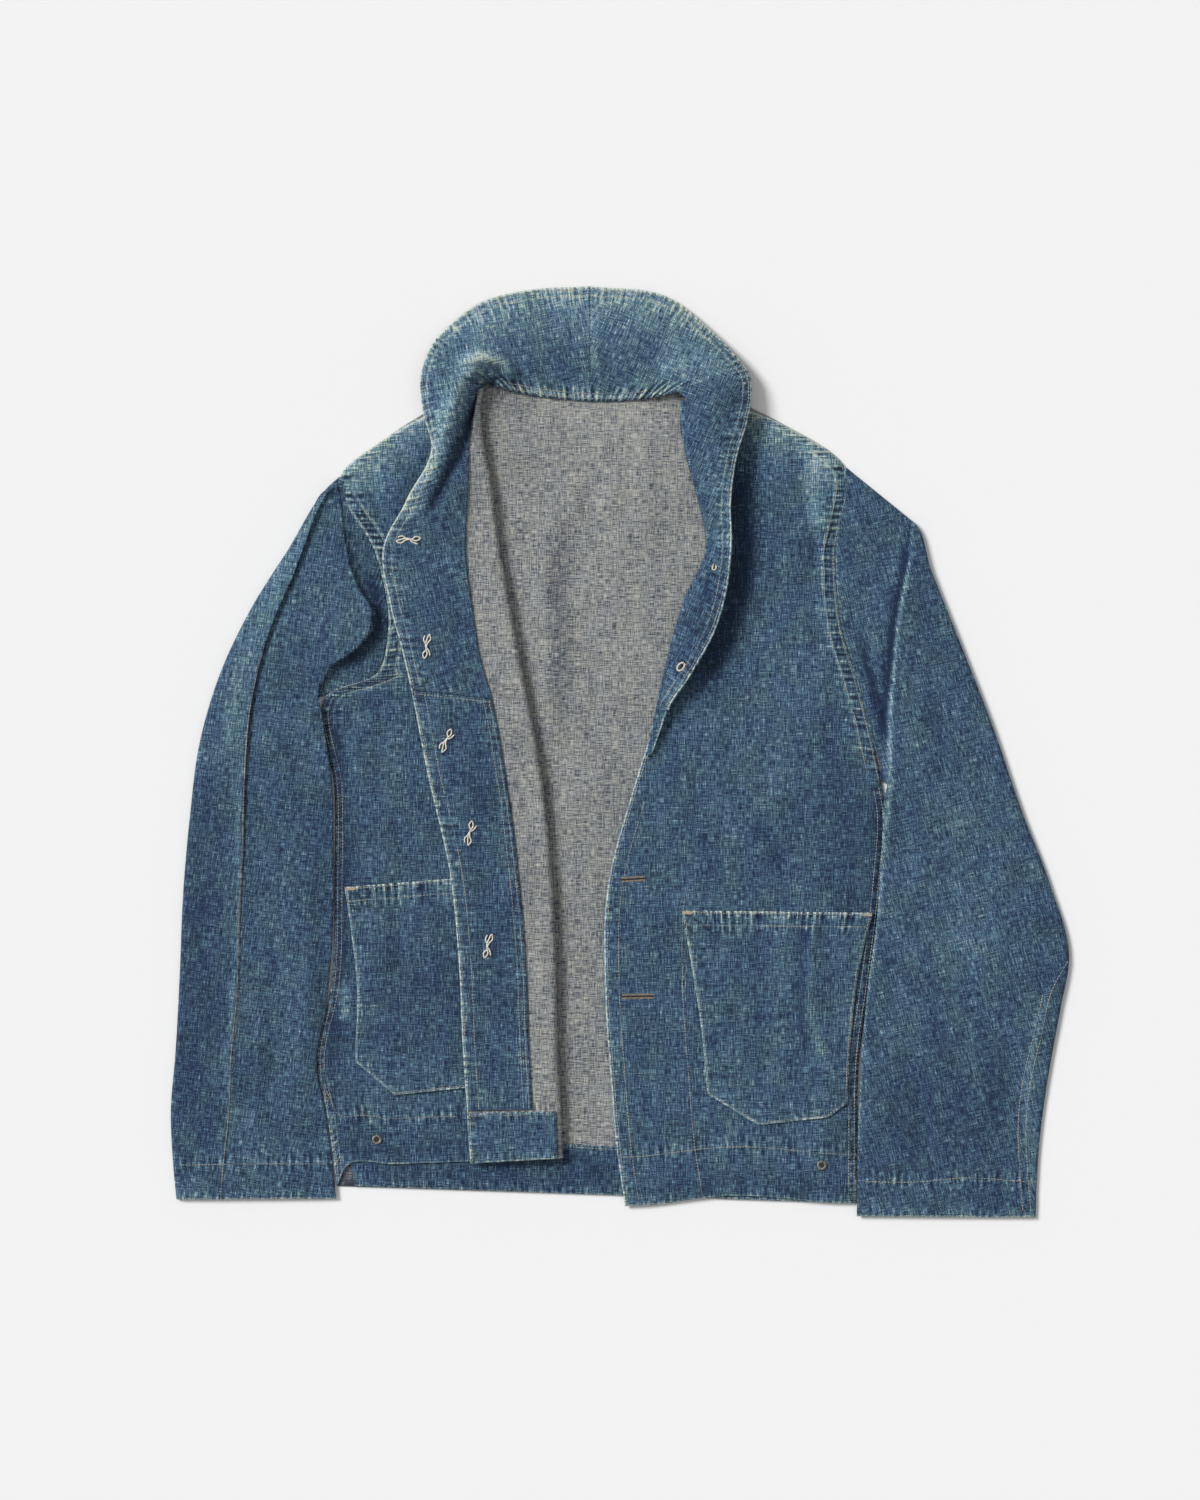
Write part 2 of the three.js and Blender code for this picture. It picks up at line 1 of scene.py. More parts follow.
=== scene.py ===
# A worn indigo denim work jacket with a shawl collar, laid flat and face up, its front open.
# Cutting sizes and places are in millimetres, as on a pattern. They become metres in a mesh.
# Right and left are the wearer's: the jacket lies face up, so its right side is at -X.
import json
import math

import bpy
import numpy as np
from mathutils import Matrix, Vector

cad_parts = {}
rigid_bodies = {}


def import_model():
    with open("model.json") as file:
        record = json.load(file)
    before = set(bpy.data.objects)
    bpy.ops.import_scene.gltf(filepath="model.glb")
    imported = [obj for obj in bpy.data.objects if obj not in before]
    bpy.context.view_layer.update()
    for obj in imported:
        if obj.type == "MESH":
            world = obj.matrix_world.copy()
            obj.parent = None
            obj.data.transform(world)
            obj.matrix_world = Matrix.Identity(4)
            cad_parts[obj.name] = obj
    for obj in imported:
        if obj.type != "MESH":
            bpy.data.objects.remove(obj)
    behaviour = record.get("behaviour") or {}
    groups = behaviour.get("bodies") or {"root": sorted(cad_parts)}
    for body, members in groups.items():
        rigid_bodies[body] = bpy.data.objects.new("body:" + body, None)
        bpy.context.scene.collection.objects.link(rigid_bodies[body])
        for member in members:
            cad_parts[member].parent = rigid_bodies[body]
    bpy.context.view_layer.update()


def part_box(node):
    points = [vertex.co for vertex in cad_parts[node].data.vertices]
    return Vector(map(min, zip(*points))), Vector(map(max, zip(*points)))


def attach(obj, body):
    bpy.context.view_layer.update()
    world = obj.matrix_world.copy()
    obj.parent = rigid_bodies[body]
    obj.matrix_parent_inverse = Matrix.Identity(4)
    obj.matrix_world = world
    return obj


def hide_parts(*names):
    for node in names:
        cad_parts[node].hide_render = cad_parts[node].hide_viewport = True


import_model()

# The table that the jacket lies on: one plain pale board, matt, larger than the jacket all
# round. The camera looks straight down on it through a long lens. Its places are in metres.
TABLE = 9.0
TABLE_TOP = -0.0004
SEEN_HEIGHT = 1.35
SEEN_MIDDLE = (-0.01795, 0.001585)
LENS = 120
SENSOR = 36


def finish(name):
    """A new material, and the sockets of its shader."""
    material = bpy.data.materials.new(name)
    material.use_nodes = True
    return material, material.node_tree.nodes["Principled BSDF"].inputs


bpy.context.scene.view_settings.view_transform = "Standard"
bpy.ops.object.select_all(action="DESELECT")
bpy.ops.mesh.primitive_plane_add(size=TABLE, location=(0, 0, TABLE_TOP))
table = bpy.context.object
table.name = "table"
pale, board = finish("pale_board")
board["Base Color"].default_value = (0.86, 0.86, 0.86, 1)
board["Roughness"].default_value = 0.9
table.data.materials.append(pale)

camera = bpy.data.objects.new("camera", bpy.data.cameras.new("camera"))
bpy.context.scene.collection.objects.link(camera)
camera.data.lens = LENS
camera.data.sensor_width = SENSOR
camera.location = (*SEEN_MIDDLE, SEEN_HEIGHT * LENS / SENSOR)
bpy.context.scene.camera = camera


# Light comes evenly from a wide window at the upper left, and from pale walls all round, so that
# shadows stay soft and short.
WINDOW = (-2.6, 1.5, 2.4)
window = bpy.data.objects.new("window", bpy.data.lights.new("window", "SUN"))
bpy.context.scene.collection.objects.link(window)
window.data.angle = math.radians(22)
window.data.energy = 3.1
window.location = WINDOW
window.rotation_euler = (-Vector(WINDOW)).to_track_quat("-Z", "Y").to_euler()
room = bpy.data.worlds.new("room")
room.use_nodes = True
walls = room.node_tree.nodes["Background"].inputs
walls["Color"].default_value = (1, 1, 1, 1)
walls["Strength"].default_value = 0.42
bpy.context.scene.world = room


# The back: one layer of denim with its grey wrong side up, flat on the table. It is cut in one
# piece from hem to neck.
CLOTH = 1.0
SEAM_GAP = 0.3
LAYER = CLOTH + SEAM_GAP
BACK_Z = CLOTH / 2
BACK_STEP = 5.6
NECK_DIP = 8
NECK_TUCK = 9
PLACE = (0.5, -0.665)
ARMPIT, SHOULDER, NECK = 6, 10, 12
UNSEEN_STEPS = 3
STROKE_ENDS = 0.22
LEAST_SLANT = 0.4
BOLT_STEP = 210

# Every edge list of the body runs from the hem up to the neck point: hem, hem stitch, pocket corner,
# mid pocket, pocket top, waist, armpit, three along the armhole, shoulder point, shoulder, neck point.
side_right = [
    (-255, -390), (-264, -327), (-273, -279), (-260, -209), (-257, -116), (-257, -34), (-264, 52),
    (-217, 74), (-209, 109), (-220, 178), (-252, 248), (-214, 280.5), (-125, 326)]
side_left = [
    (213, -405), (213, -356), (215, -272), (224, -209), (235, -116), (238, -48), (234, -26), (213, 63),
    (199, 111), (193, 173), (201, 257), (154, 291), (75, 320)]


def mix(a, b, share):
    """A point on the way from one point to another."""
    return np.asarray(a, float) + (np.asarray(b, float) - np.asarray(a, float)) * share


def smooth(points, counts, axis):
    """Soft curves through the points of a grid along one axis, with counts[k] steps after point k."""
    p = np.moveaxis(points, axis, 0)
    gap = np.maximum(np.linalg.norm(np.diff(p, axis=0), axis=2), 0.01)[..., None]
    slope = np.diff(p, axis=0) / gap
    between = (slope[:-1] * gap[1:] + slope[1:] * gap[:-1]) / (gap[1:] + gap[:-1])
    least = 3 * np.minimum(abs(slope[:-1]), abs(slope[1:])) * (slope[:-1] * slope[1:] > 0)
    between[..., 2:] = np.clip(between, -least, least)[..., 2:]
    lean = np.concatenate([slope[:1], between, slope[-1:]])
    parts = []
    for k, count in enumerate(counts):
        t = (np.arange(count) / count)[:, None, None]
        parts.append((2 * t**3 - 3 * t**2 + 1) * p[k] + (3 * t**2 - 2 * t**3) * p[k + 1]
                     + gap[k] * ((t**3 - 2 * t**2 + t) * lean[k] + (t**3 - t**2) * lean[k + 1]))
    return np.moveaxis(np.concatenate([*parts, p[-1:]]), 0, axis)


def refine(points, spacing, unseen=()):
    """A few given points, made a fine grid, coarser after the unseen columns. Also where each given
    row and column went."""
    places = []
    for axis in (1, 0):
        gaps = np.linalg.norm(np.diff(points, axis=axis), axis=2).max(axis=1 - axis)
        steps = np.full(len(gaps), float(spacing))
        if axis == 1:
            steps[list(unseen)] *= UNSEEN_STEPS
        counts = np.maximum(np.ceil(gaps / steps), 1).astype(int)
        places.append(np.concatenate([[0], np.cumsum(counts)]))
        points = smooth(points, counts, axis)
    return points, places[1], places[0]


def normals(grid):
    """Which way the cloth faces at each point of a grid."""
    n = np.cross(np.gradient(grid, axis=1), np.gradient(grid, axis=0))
    return n / np.maximum(np.linalg.norm(n, axis=2, keepdims=True), 1e-9)


def moved(grid, distance):
    """A layer on another: its points moved out along the cloth's own direction."""
    return grid + normals(grid) * distance


def curve(points, steps=4):
    """A soft line through a few points."""
    points = np.array(points, float)
    return smooth(points[:, None], [steps] * (len(points) - 1), 0)[:, 0]


def stroke(grid, line, strength, left, right=None):
    """A soft ridge, or a streak of wear, painted shade or painted highlight, along a line in plan,
    which dies away at both ends. It falls off within one reach on the line's left, and the same or
    another on its right."""
    plan, best = grid[..., :2], np.full(grid.shape[:2], 1e9)
    reach, along, passed = np.ones_like(best), np.zeros_like(best), 0.0
    line = curve(line)
    for a, b in zip(line[:-1], line[1:]):
        run = b - a
        length = np.linalg.norm(run)
        share = np.clip(((plan - a) @ run) / length**2, 0, 1)
        off = plan - a - share[..., None] * run
        distance = np.linalg.norm(off, axis=2)
        closer = distance < best
        on_right = run[0] * off[..., 1] - run[1] * off[..., 0] < 0
        reach[closer] = np.where(on_right, right or left, left)[closer]
        along[closer] = (passed + share * length)[closer]
        best = np.minimum(best, distance)
        passed += length
    ends = np.clip(np.minimum(along, passed - along) / (STROKE_ENDS * passed), 0, 1)
    return strength * ends * ends * (3 - 2 * ends) * np.exp(-((best / reach) ** 2))


def strokes(grid, marks):
    """All the folds, or all the worn places, painted shade and painted highlights, of one piece."""
    return sum((stroke(grid, *mark) for mark in marks), np.zeros(grid.shape[:2]))


def turned(edge, values):
    """A grid turned so that its rows start at one of its edges: start, end, first or last."""
    values = values.swapaxes(0, 1) if edge in ("start", "end") else values
    return values[:, ::-1] if edge in ("end", "last") else values


def turned_back(edge, values):
    """A turned grid put back as it was."""
    values = values[:, ::-1] if edge in ("end", "last") else values
    return values.swapaxes(0, 1) if edge in ("start", "end") else values


def slant(grid):
    """How squarely each row of a turned grid leaves its edge: 1 when square to it."""
    out, run = grid[:, 1] - grid[:, 0], np.gradient(grid[:, 0], axis=0)
    size = np.linalg.norm(out, axis=1) * np.linalg.norm(run, axis=1)
    square = np.linalg.norm(np.cross(out, run), axis=1) / np.maximum(size, 1e-9)
    return np.clip(square, LEAST_SLANT, 1)[:, None]


def lengths(grid, edge):
    """How far each point of a grid is from one edge, and how far along that edge."""
    grid = turned(edge, grid)
    out = np.linalg.norm(np.diff(grid, axis=1), axis=2).cumsum(axis=1)
    out = np.pad(out, ((0, 0), (1, 0))) * slant(grid)
    along = np.append(0, np.linalg.norm(np.diff(grid[:, 0], axis=0), axis=1).cumsum())
    return turned_back(edge, out), turned_back(edge, along[:, None] + 0 * out)


def new_piece(name, points, faces):
    """A new object from points on the pattern, moved to where the jacket lies."""
    mesh = bpy.data.meshes.new(name)
    mesh.from_pydata(((np.concatenate(points) + (*PLACE, 0)) / 1000).tolist(), [], faces)
    piece = bpy.data.objects.new(name, mesh)
    bpy.context.scene.collection.objects.link(piece)
    return piece


def cloth(name, grids, seams=(), wear_and_painted_light=(), grain=0, ring=False, blue_out=True):
    """A thin shell of cloth on one or more grids of points, its warp at an angle from straight up.

    seams lists (edge, distance in from it, pucker, paleness, and where it starts and ends as shares
    of the edge), and the list of strokes holds real wear, painted shade and painted highlights for
    the fade attribute. blue_out says that its blue side is the one that the grid faces. Each piece
    has its own place on the bolt, for its weave.
    """
    points, faces, cut, seam, fade = [], [], [], [], []
    turn = math.radians(grain)
    across = np.array([[math.cos(turn), math.sin(turn)], [-math.sin(turn), math.cos(turn)]])
    bolt = BOLT_STEP * len(bpy.data.objects)
    for grid in grids:
        rows, columns = grid.shape[:2]
        kept = columns - 1 if ring else columns
        first = sum(len(p) for p in points)
        i, j = (k.ravel() for k in np.mgrid[:rows - 1, :columns - 1])
        corners = [(i, j), (i, j + 1), (i + 1, j + 1), (i + 1, j)]
        faces.append(np.stack([first + a * kept + b % kept for a, b in corners], axis=1))
        flat = grid[..., :2] @ across.T + bolt
        cut.append(np.stack([flat[a, b] for a, b in corners], axis=1).reshape(-1, 2))
        nearest = np.full((rows, columns), 1e3)
        band = np.zeros((rows, columns, 4))
        for edge, inset, pucker, paleness, *part in seams:
            distance, run = lengths(grid, edge)
            distance, share = np.abs(distance - inset), run / run.max()
            low, high = part or (0, 1)
            closer = (distance < nearest) & (share >= low) & (share <= high)
            nearest = np.where(closer, distance, nearest)
            values = [run, distance, np.full_like(run, pucker), np.full_like(run, paleness)]
            band[closer] = np.stack(values, axis=2)[closer]
        for stack, values in ((points, grid), (seam, band), (fade, strokes(grid, wear_and_painted_light))):
            stack.append(values[:, :kept].reshape(rows * kept, -1))
    piece = new_piece(name + "_denim", points, np.concatenate(faces).tolist())
    mesh = piece.data
    mesh.polygons.foreach_set("use_smooth", [True] * len(mesh.polygons))
    mesh.uv_layers.new(name="cut").data.foreach_set("uv", (np.concatenate(cut) / 1000).ravel())
    marks = (("seam", "FLOAT_COLOR", "color", seam), ("fade", "FLOAT", "value", fade))
    for label, kind, slot, values in marks:
        mesh.attributes.new(label, kind, "POINT").data.foreach_set(slot, np.concatenate(values).ravel())
    for dye in (indigo, grey) if blue_out else (grey, indigo):
        mesh.materials.append(dye)
    wall = piece.modifiers.new("wall", "SOLIDIFY")
    wall.thickness = CLOTH / 1000
    wall.offset = 0
    wall.material_offset = 1
    return piece


class Dye:
    """One value on its way through a material's nodes, worked on with plain arithmetic."""

    def __init__(self, tree, socket):
        self.tree, self.socket = tree, socket

    def node(self, kind, settings=None, values=None, out=0):
        """A new node with its settings and the values or links of its sockets, as one of its outputs."""
        node = self.tree.nodes.new(kind)
        for name, value in (settings or {}).items():
            if name == "stops":
                while len(node.color_ramp.elements) < len(value):
                    node.color_ramp.elements.new(0.5)
                for element, (place, colour) in zip(node.color_ramp.elements, value):
                    element.position, element.color = place, (*colour, 1)
            else:
                setattr(node, name, value)
        for name, value in (values or {}).items():
            if isinstance(value, Dye):
                self.tree.links.new(value.socket, node.inputs[name])
            else:
                node.inputs[name].default_value = value
        return Dye(self.tree, node.outputs[out])

    def sum(self, operation, *others):
        """One step of arithmetic on this value and others."""
        return self.node("ShaderNodeMath", {"operation": operation}, dict(enumerate(others)))

    def __add__(self, other):
        return self.sum("ADD", self, other)

    def __sub__(self, other):
        return self.sum("SUBTRACT", self, other)

    def __mul__(self, other):
        return self.sum("MULTIPLY", self, other)

    def __rsub__(self, other):
        return self.sum("SUBTRACT", other, self)

    __radd__ = __add__
    __rmul__ = __mul__

    def held(self, low, high):
        """0 below low and 1 above high, with a soft slope between them."""
        return self.node("ShaderNodeMapRange", {"interpolation_type": "SMOOTHSTEP"},
                         {"Value": self, "From Min": low, "From Max": high})

    def noise(self, across, along, detail=2.0):
        """Patches of about these sizes in metres, across and along the cut."""
        stretched = self.node("ShaderNodeVectorMath", {"operation": "MULTIPLY"},
                              {0: self, 1: (1 / across, 1 / along, 1)})
        return stretched.node("ShaderNodeTexNoise", {"noise_dimensions": "2D"},
                              {"Vector": stretched, "Scale": 1.0, "Detail": detail})


# Threads and slubs are so thick and so long, in metres. The next line is how much each thing adds
# to the tone: the weave, soft clouds, puckered ribs, frayed edges and wear beside them.
FINE, FINE_RUN = 0.00055, 0.0066
SLUB, SLUB_RUN = 0.001, 0.026
WEAVE, CLOUDS, RIBS, FRAY, WEAR = 0.94, 0.26, 0.16, 0.5, 0.1

# How ribs, frayed threads and wear die away from a seam, in millimetres, and how ribs repeat.
RIB_SIZE, RIB_REACH, RIB_GAIN = (3.4, 16), (4, 11), 7
FRAY_REACH, WEAR_REACH = (0.6, 2.1), (2, 12)


def denim(name, shades, tint, depth=0.283, contrast=1.0, weft_share=0.8):
    """Slubby denim. shades are (tone, colour) stops from unfaded to worn white, tint the two casts
    that its fading drifts between."""
    material, face = finish(name)
    tree = material.node_tree
    start = Dye(tree, None)
    cut = start.node("ShaderNodeUVMap", {"uv_map": "cut"})
    seam = start.node("ShaderNodeAttribute", {"attribute_name": "seam"})
    split = start.node("ShaderNodeSeparateColor", values={"Color": seam})
    run, off, pucker = (Dye(tree, split.socket.node.outputs[k]) for k in range(3))
    paleness = Dye(tree, seam.socket.node.outputs["Alpha"])
    # The fade attribute adds real wear to the tone, and also painted shade and painted highlights.
    fade = start.node("ShaderNodeAttribute", {"attribute_name": "fade"}, out=2)

    warp = cut.noise(FINE, FINE_RUN, 0.0) - 0.5
    slub = cut.noise(SLUB, SLUB_RUN, 0.0) - 0.5
    weft = cut.noise(FINE_RUN, FINE, 0.0) - 0.5
    strand = cut.noise(SLUB_RUN, SLUB, 0.0) - 0.5
    weave = warp + slub * 0.5 + (weft + strand * 0.5) * weft_share
    cloud = cut.noise(0.02, 0.06, 3.0) + cut.noise(0.007, 0.12, 1.0) * 0.4 - 0.7
    drift = cut.noise(0.022, 0.03, 2.0)

    along = start.node("ShaderNodeCombineXYZ", values={"X": run, "Y": off})
    rib = (along.noise(*RIB_SIZE, 0.0) - 0.5) * pucker * (1 - off.held(*RIB_REACH)) * RIB_GAIN
    frayed = 0.5 + cut.noise(0.004, 0.004)
    edge = (1 - off.held(*FRAY_REACH)) * paleness * frayed
    worn = (1 - off.held(*WEAR_REACH)) * paleness
    tone = depth + weave * (contrast * WEAVE) + cloud * CLOUDS + fade + rib * RIBS
    tone = tone + edge * FRAY + worn * WEAR
    colour = tone.node("ShaderNodeValToRGB", {"stops": shades}, {"Fac": tone})
    cast = drift.node("ShaderNodeValToRGB", {"stops": [(0.36, tint[0]), (0.64, tint[1])]}, {"Fac": drift})
    colour = colour.node("ShaderNodeVectorMath", {"operation": "MULTIPLY"}, {0: colour, 1: cast})
    height = weave * 0.3 + rib
    bump = height.node("ShaderNodeBump", values={"Height": height, "Strength": 0.7, "Distance": 0.0007})
    tree.links.new(colour.socket, face["Base Color"])
    tree.links.new(bump.socket, face["Normal"])
    for name, value in (("Roughness", 0.92), ("Specular IOR Level", 0.2), ("Sheen Weight", 0.06)):
        face[name].default_value = value
    return material


indigo = denim(
    "indigo_face", [
        (0.0, (0.012, 0.024, 0.055)), (0.2, (0.032, 0.06, 0.105)), (0.42, (0.064, 0.113, 0.168)),
        (0.62, (0.104, 0.19, 0.246)), (0.82, (0.205, 0.315, 0.345)), (1.0, (0.52, 0.55, 0.48))],
    [(0.93, 0.98, 1.08), (0.99, 1.04, 0.98)])
grey = denim(
    "grey_wrong_side", [
        (0.0, (0.05, 0.06, 0.08)), (0.25, (0.15, 0.165, 0.18)), (0.45, (0.255, 0.265, 0.262)),
        (0.7, (0.36, 0.365, 0.345)), (1.0, (0.52, 0.51, 0.46))],
    [(0.99, 1.0, 1.02), (1.01, 1.0, 0.97)], depth=0.42, contrast=0.85, weft_share=1.2)


def back_points():
    """The back's rows, with a dip along its neck edge."""
    rows = []
    for at, (left, right) in enumerate(zip(side_right, side_left)):
        dip, tuck = (NECK_DIP, NECK_TUCK) if at == NECK else (0, 0)
        rows.append([(*(mix(left, right, s) + (0, tuck - dip * math.sin(math.pi * s))), BACK_Z)
                     for s in np.linspace(0, 1, 11)])
    return np.array(rows)


def part_of_jacket(piece):
    """Every cloth piece lies in the one body, in place of its plain node."""
    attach(piece, "root")
    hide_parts(piece.name.removesuffix("_denim"))


back_grid, _, _ = refine(back_points(), BACK_STEP)
back_grid[..., 2] += strokes(back_grid, [
    ([(-68, 250), (-66, 137), (-62, -10)], 2.2, 15, 10),
    ([(-18, 310), (-12, 180), (-24, 60)], 1.1, 16),
    ([(25, 290), (18, 200), (5, 110)], 0.9, 14)])
back = cloth("back", [back_grid], blue_out=False, wear_and_painted_light=[
    # Painted shade on the far side of the back's long fold, then painted shadow beside the right front's
    # roll.
    ([(-55, 235), (-54, 130), (-50, 0)], -0.16, 9, 13),
    ([(-110, 80), (-84, -60), (-80, -200)], -0.1, 18, 30),
    ([(-60, 290), (0, 300), (50, 290)], 0.08, 60),
    # Painted shadow under the lifted corner of the right front's hem.
    ([(-275, -392), (-242, -390), (-212, -386)], -0.6, 14),
    ([(10, 20), (-5, -120), (-15, -330)], -0.08, 30)])
part_of_jacket(back)


# The sewing thread: pale cotton, worn to tan. Each stitch is its own short rounded thread, set
# along a line that runs at a chosen distance inside a seam or an edge.
THREAD = 0.32
STITCH, PITCH = 2.3, 2.9
ON_CLOTH = CLOTH / 2 + 0.12
BLUNT, TIP_DROP = 0.3, 0.4


def speckled(name, scale, stops, roughness=0.5, uneven=0, metallic=0, detail=2.0):
    """A finish whose colour, and shine if it is uneven, come and go in small patches."""
    material, face = finish(name)
    tree = material.node_tree
    place = Dye(tree, None).node("ShaderNodeTexCoord", out=3)
    patch = place.node("ShaderNodeTexNoise", values={"Vector": place, "Scale": scale, "Detail": detail})
    colour = patch.node("ShaderNodeValToRGB", {"stops": stops}, {"Fac": patch})
    tree.links.new(colour.socket, face["Base Color"])
    face["Metallic"].default_value = metallic
    face["Roughness"].default_value = roughness
    if uneven:
        tree.links.new((patch * uneven + roughness).socket, face["Roughness"])
    return material


thread = speckled(
    "sewing_thread", 60.0,
    [(0.35, (0.16, 0.2, 0.22)), (0.5, (0.38, 0.37, 0.31)), (0.65, (0.52, 0.44, 0.32))], 0.8)


def line_in(grid, edge, inset, side=1, part=(0, 1), lift=ON_CLOTH):
    """A line that runs a set distance in from one edge of a grid, and which way the cloth faces there."""
    grid, ways = turned(edge, grid), turned(edge, normals(grid) * side)
    first, last = (round(share * (len(grid) - 1)) for share in part)
    line = []
    for row, way, square in list(zip(grid, ways, slant(grid)))[first:last + 1]:
        run = np.append(0, np.cumsum(np.linalg.norm(np.diff(row, axis=0), axis=1)))
        both = np.hstack([row, way])
        line.append([np.interp(inset / square[0], run, values) for values in both.T])
    line = np.array(line)
    return line[:, :3] + line[:, 3:] * lift, line[:, 3:]


def lines_in(grid, runs, side=1):
    """Several such lines. runs lists (edge, inset, and its start and end as shares of the edge)."""
    return [line_in(grid, edge, inset, side, part or (0, 1)) for edge, inset, *part in runs]


def sewn(name, lines, pitch=PITCH, length=STITCH, radius=THREAD, crosswise=False, dye=thread):
    """One joined mesh of small threads along lines of (points, ways out)."""
    tips = [(s / 2, 0, -TIP_DROP) for s in (-1, 1)]
    rings = [(s * BLUNT, a, b) for s in (-1, 1) for a, b in ((1, 0), (0, 1), (-1, 0), (0, -1))]
    shape = np.array(tips + rings) * (length, radius, radius)
    faces = [(2 + k, 2 + (k + 1) % 4, 6 + (k + 1) % 4, 6 + k) for k in range(4)]
    faces += [(0, 2 + (k + 1) % 4, 2 + k) for k in range(4)]
    faces += [(1, 6 + k, 6 + (k + 1) % 4) for k in range(4)]
    points, count = [], 0
    for line, ways in lines:
        run = np.append(0, np.cumsum(np.linalg.norm(np.diff(line, axis=0), axis=1)))
        stops = np.arange(pitch, run[-1] - pitch / 2, pitch)
        centre, out, ahead = (np.column_stack([np.interp(stops, run, values[:, k]) for k in range(3)])
                              for values in (line, ways, np.gradient(line, axis=0)))
        ahead /= np.linalg.norm(ahead, axis=1, keepdims=True)
        aside = np.cross(out, ahead)
        if crosswise:
            ahead, aside = aside, -ahead
        ways_of_one = enumerate((ahead, aside, out))
        stitches = sum(shape[None, :, k, None] * way[:, None] for k, way in ways_of_one)
        points.append((centre[:, None] + stitches).reshape(-1, 3))
        count += len(stops)
    every = [np.array(face) + k * len(shape) for k in range(count) for face in faces]
    sewing = new_piece(name, points, every)
    sewing.data.materials.append(dye)
    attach(sewing, "root")


# The back's hem: its lower edge turned up twice and stitched, so that the blue outer face shows
# inside the jacket below the flap.
HEM_TURN = 1
BACK_HEM_INSET = 16
BACK_HEM_SHORT = 12
HEM_STEP = 3.0

hem_rows = []
for at in (0, HEM_TURN):
    left, right = np.array(side_right[at]), np.array(side_left[at])
    across = np.linspace(0, 1, 9)[:, None]
    row = mix(left + (BACK_HEM_INSET, 0), right - (BACK_HEM_INSET, 0), across)
    row[:, 1] = left[1] + (right[1] - left[1]) * across[:, 0] - (BACK_HEM_SHORT if at else 0)
    hem_rows.append(np.column_stack([row, np.full(len(row), BACK_Z + LAYER)]))
hem_grid, _, _ = refine(np.array(hem_rows), HEM_STEP)
back_hem = cloth(
    "back_hem", [hem_grid], seams=[("end", 0, 0.7, 0.5), ("start", 0, 0.6, 0.7)],
    wear_and_painted_light=[([(-250, -370), (60, -385)], -0.12, 40)])
part_of_jacket(back_hem)
sewn("back_hem_stitching", lines_in(hem_grid, [("end", 2.5)]))


# The right front: one piece from the side seam across to a long roll, where its edge is folded
# back over it with the grey wrong side up. It lies over the back.
EDGE_Z = BACK_Z + LAYER
ARM_Z = 2.6
FRONT_Z = 3.7
FRONT_STEP = 2.8
ROLL_LOW = 3.0
ROLL_RADIUS = 4.2
FLAP_Z, FLAP_SAG, FLAP_RIDGE = 9.7, 1.6, 12
FLAP_DROP, NECK_DROP = 2.4, 0.5
CLIMB_START, CLIMB_ROWS = 8.6, 2.4
PANEL_SHARE = 0.9
EDGE_REACH = 9
HEM_CORNER = 17
FLAP_COLUMNS = 5
roll_right = [
    (-52, -364), (-54, -320), (-57, -263), (-58, -196), (-62, -111), (-72, -16), (-83, 45), (-91, 86),
    (-99, 130), (-107, 173), (-117, 247), (-125, 292), (-126, 325)]
flap_edge = [
    (-135, -369), (-138, -322), (-142, -259), (-145, -191), (-153, -110), (-174, -16), (-188, 56),
    (-196, 91), (-207, 133), (-213, 184), (-192, 225), (-168, 274), (-176, 306)]
FACING_START = [0.26, 0.26, 0.26, 0.27, 0.29, 0.28, 0.28, 0.31, 0.29, 0.27, 0.22, 0.14, 0.1]
RIGHT_PANEL_FOLDS = [
    ([(-223, 268), (-221, 232), (-207, 196)], -1.5, 4, 7),
    ([(-236, 246), (-236, 215), (-222, 180)], 1.6, 8),
    ([(-205, 270), (-204, 235), (-204, 200)], 1.3, 9),
    ([(-196, 20), (-208, -60), (-214, -130)], 1.2, 12),
    ([(-203, -110), (-199, -205), (-203, -300)], -0.9, 7, 9)]
FLAP_FOLDS = [
    ([(-110, 60), (-98, -40), (-90, -160), (-84, -300)], 0.9, 10),
    ([(-160, 60), (-140, -60), (-132, -200)], 0.8, 12)]
CURL_CREST = [
    (-213, 200), (-185, 238), (-162, 281), (-149, 312), (-139, 336), (-124, 350), (-107, 351), (-98, 341)]
COLLAR_RIGHT_FOLDS = [
    (CURL_CREST, 7, 12, 8),
    ([(-176, 205), (-154, 250), (-141, 280), (-132, 305), (-125, 322), (-112, 336)], -6, 6, 7),
    ([(-152, 344), (-137, 351), (-120, 353), (-106, 349), (-98, 340), (-98, 328)], 4.5, 6, 4),
    ([(-141, 288), (-132, 307), (-123, 324), (-113, 335), (-104, 340)], -4, 4)]


def toward(a, b):
    """The direction from one point to another."""
    run = np.subtract(b, a)
    return run / np.linalg.norm(run)


def edge_height(at):
    """The height of a front's outer edge: low at the side and shoulder, higher along the armhole."""
    return ARM_Z if ARMPIT < at < SHOULDER else EDGE_Z


def flap_height(at, s):
    """The folded-back half rises into the collar's ridge near the neck, and its edge drops there."""
    climb = min(max((at - CLIMB_START) / CLIMB_ROWS, 0), 1)
    climb *= climb * (3 - 2 * climb)
    ridge = FLAP_RIDGE * climb * max(math.sin(math.pi * min(1, s**1.5)), 0) ** 0.8
    drop = (NECK_DROP if at > SHOULDER + 1 else FLAP_DROP) * climb * s**4
    return FLAP_Z + FLAP_SAG * (1 - s) ** 2 + ridge - drop


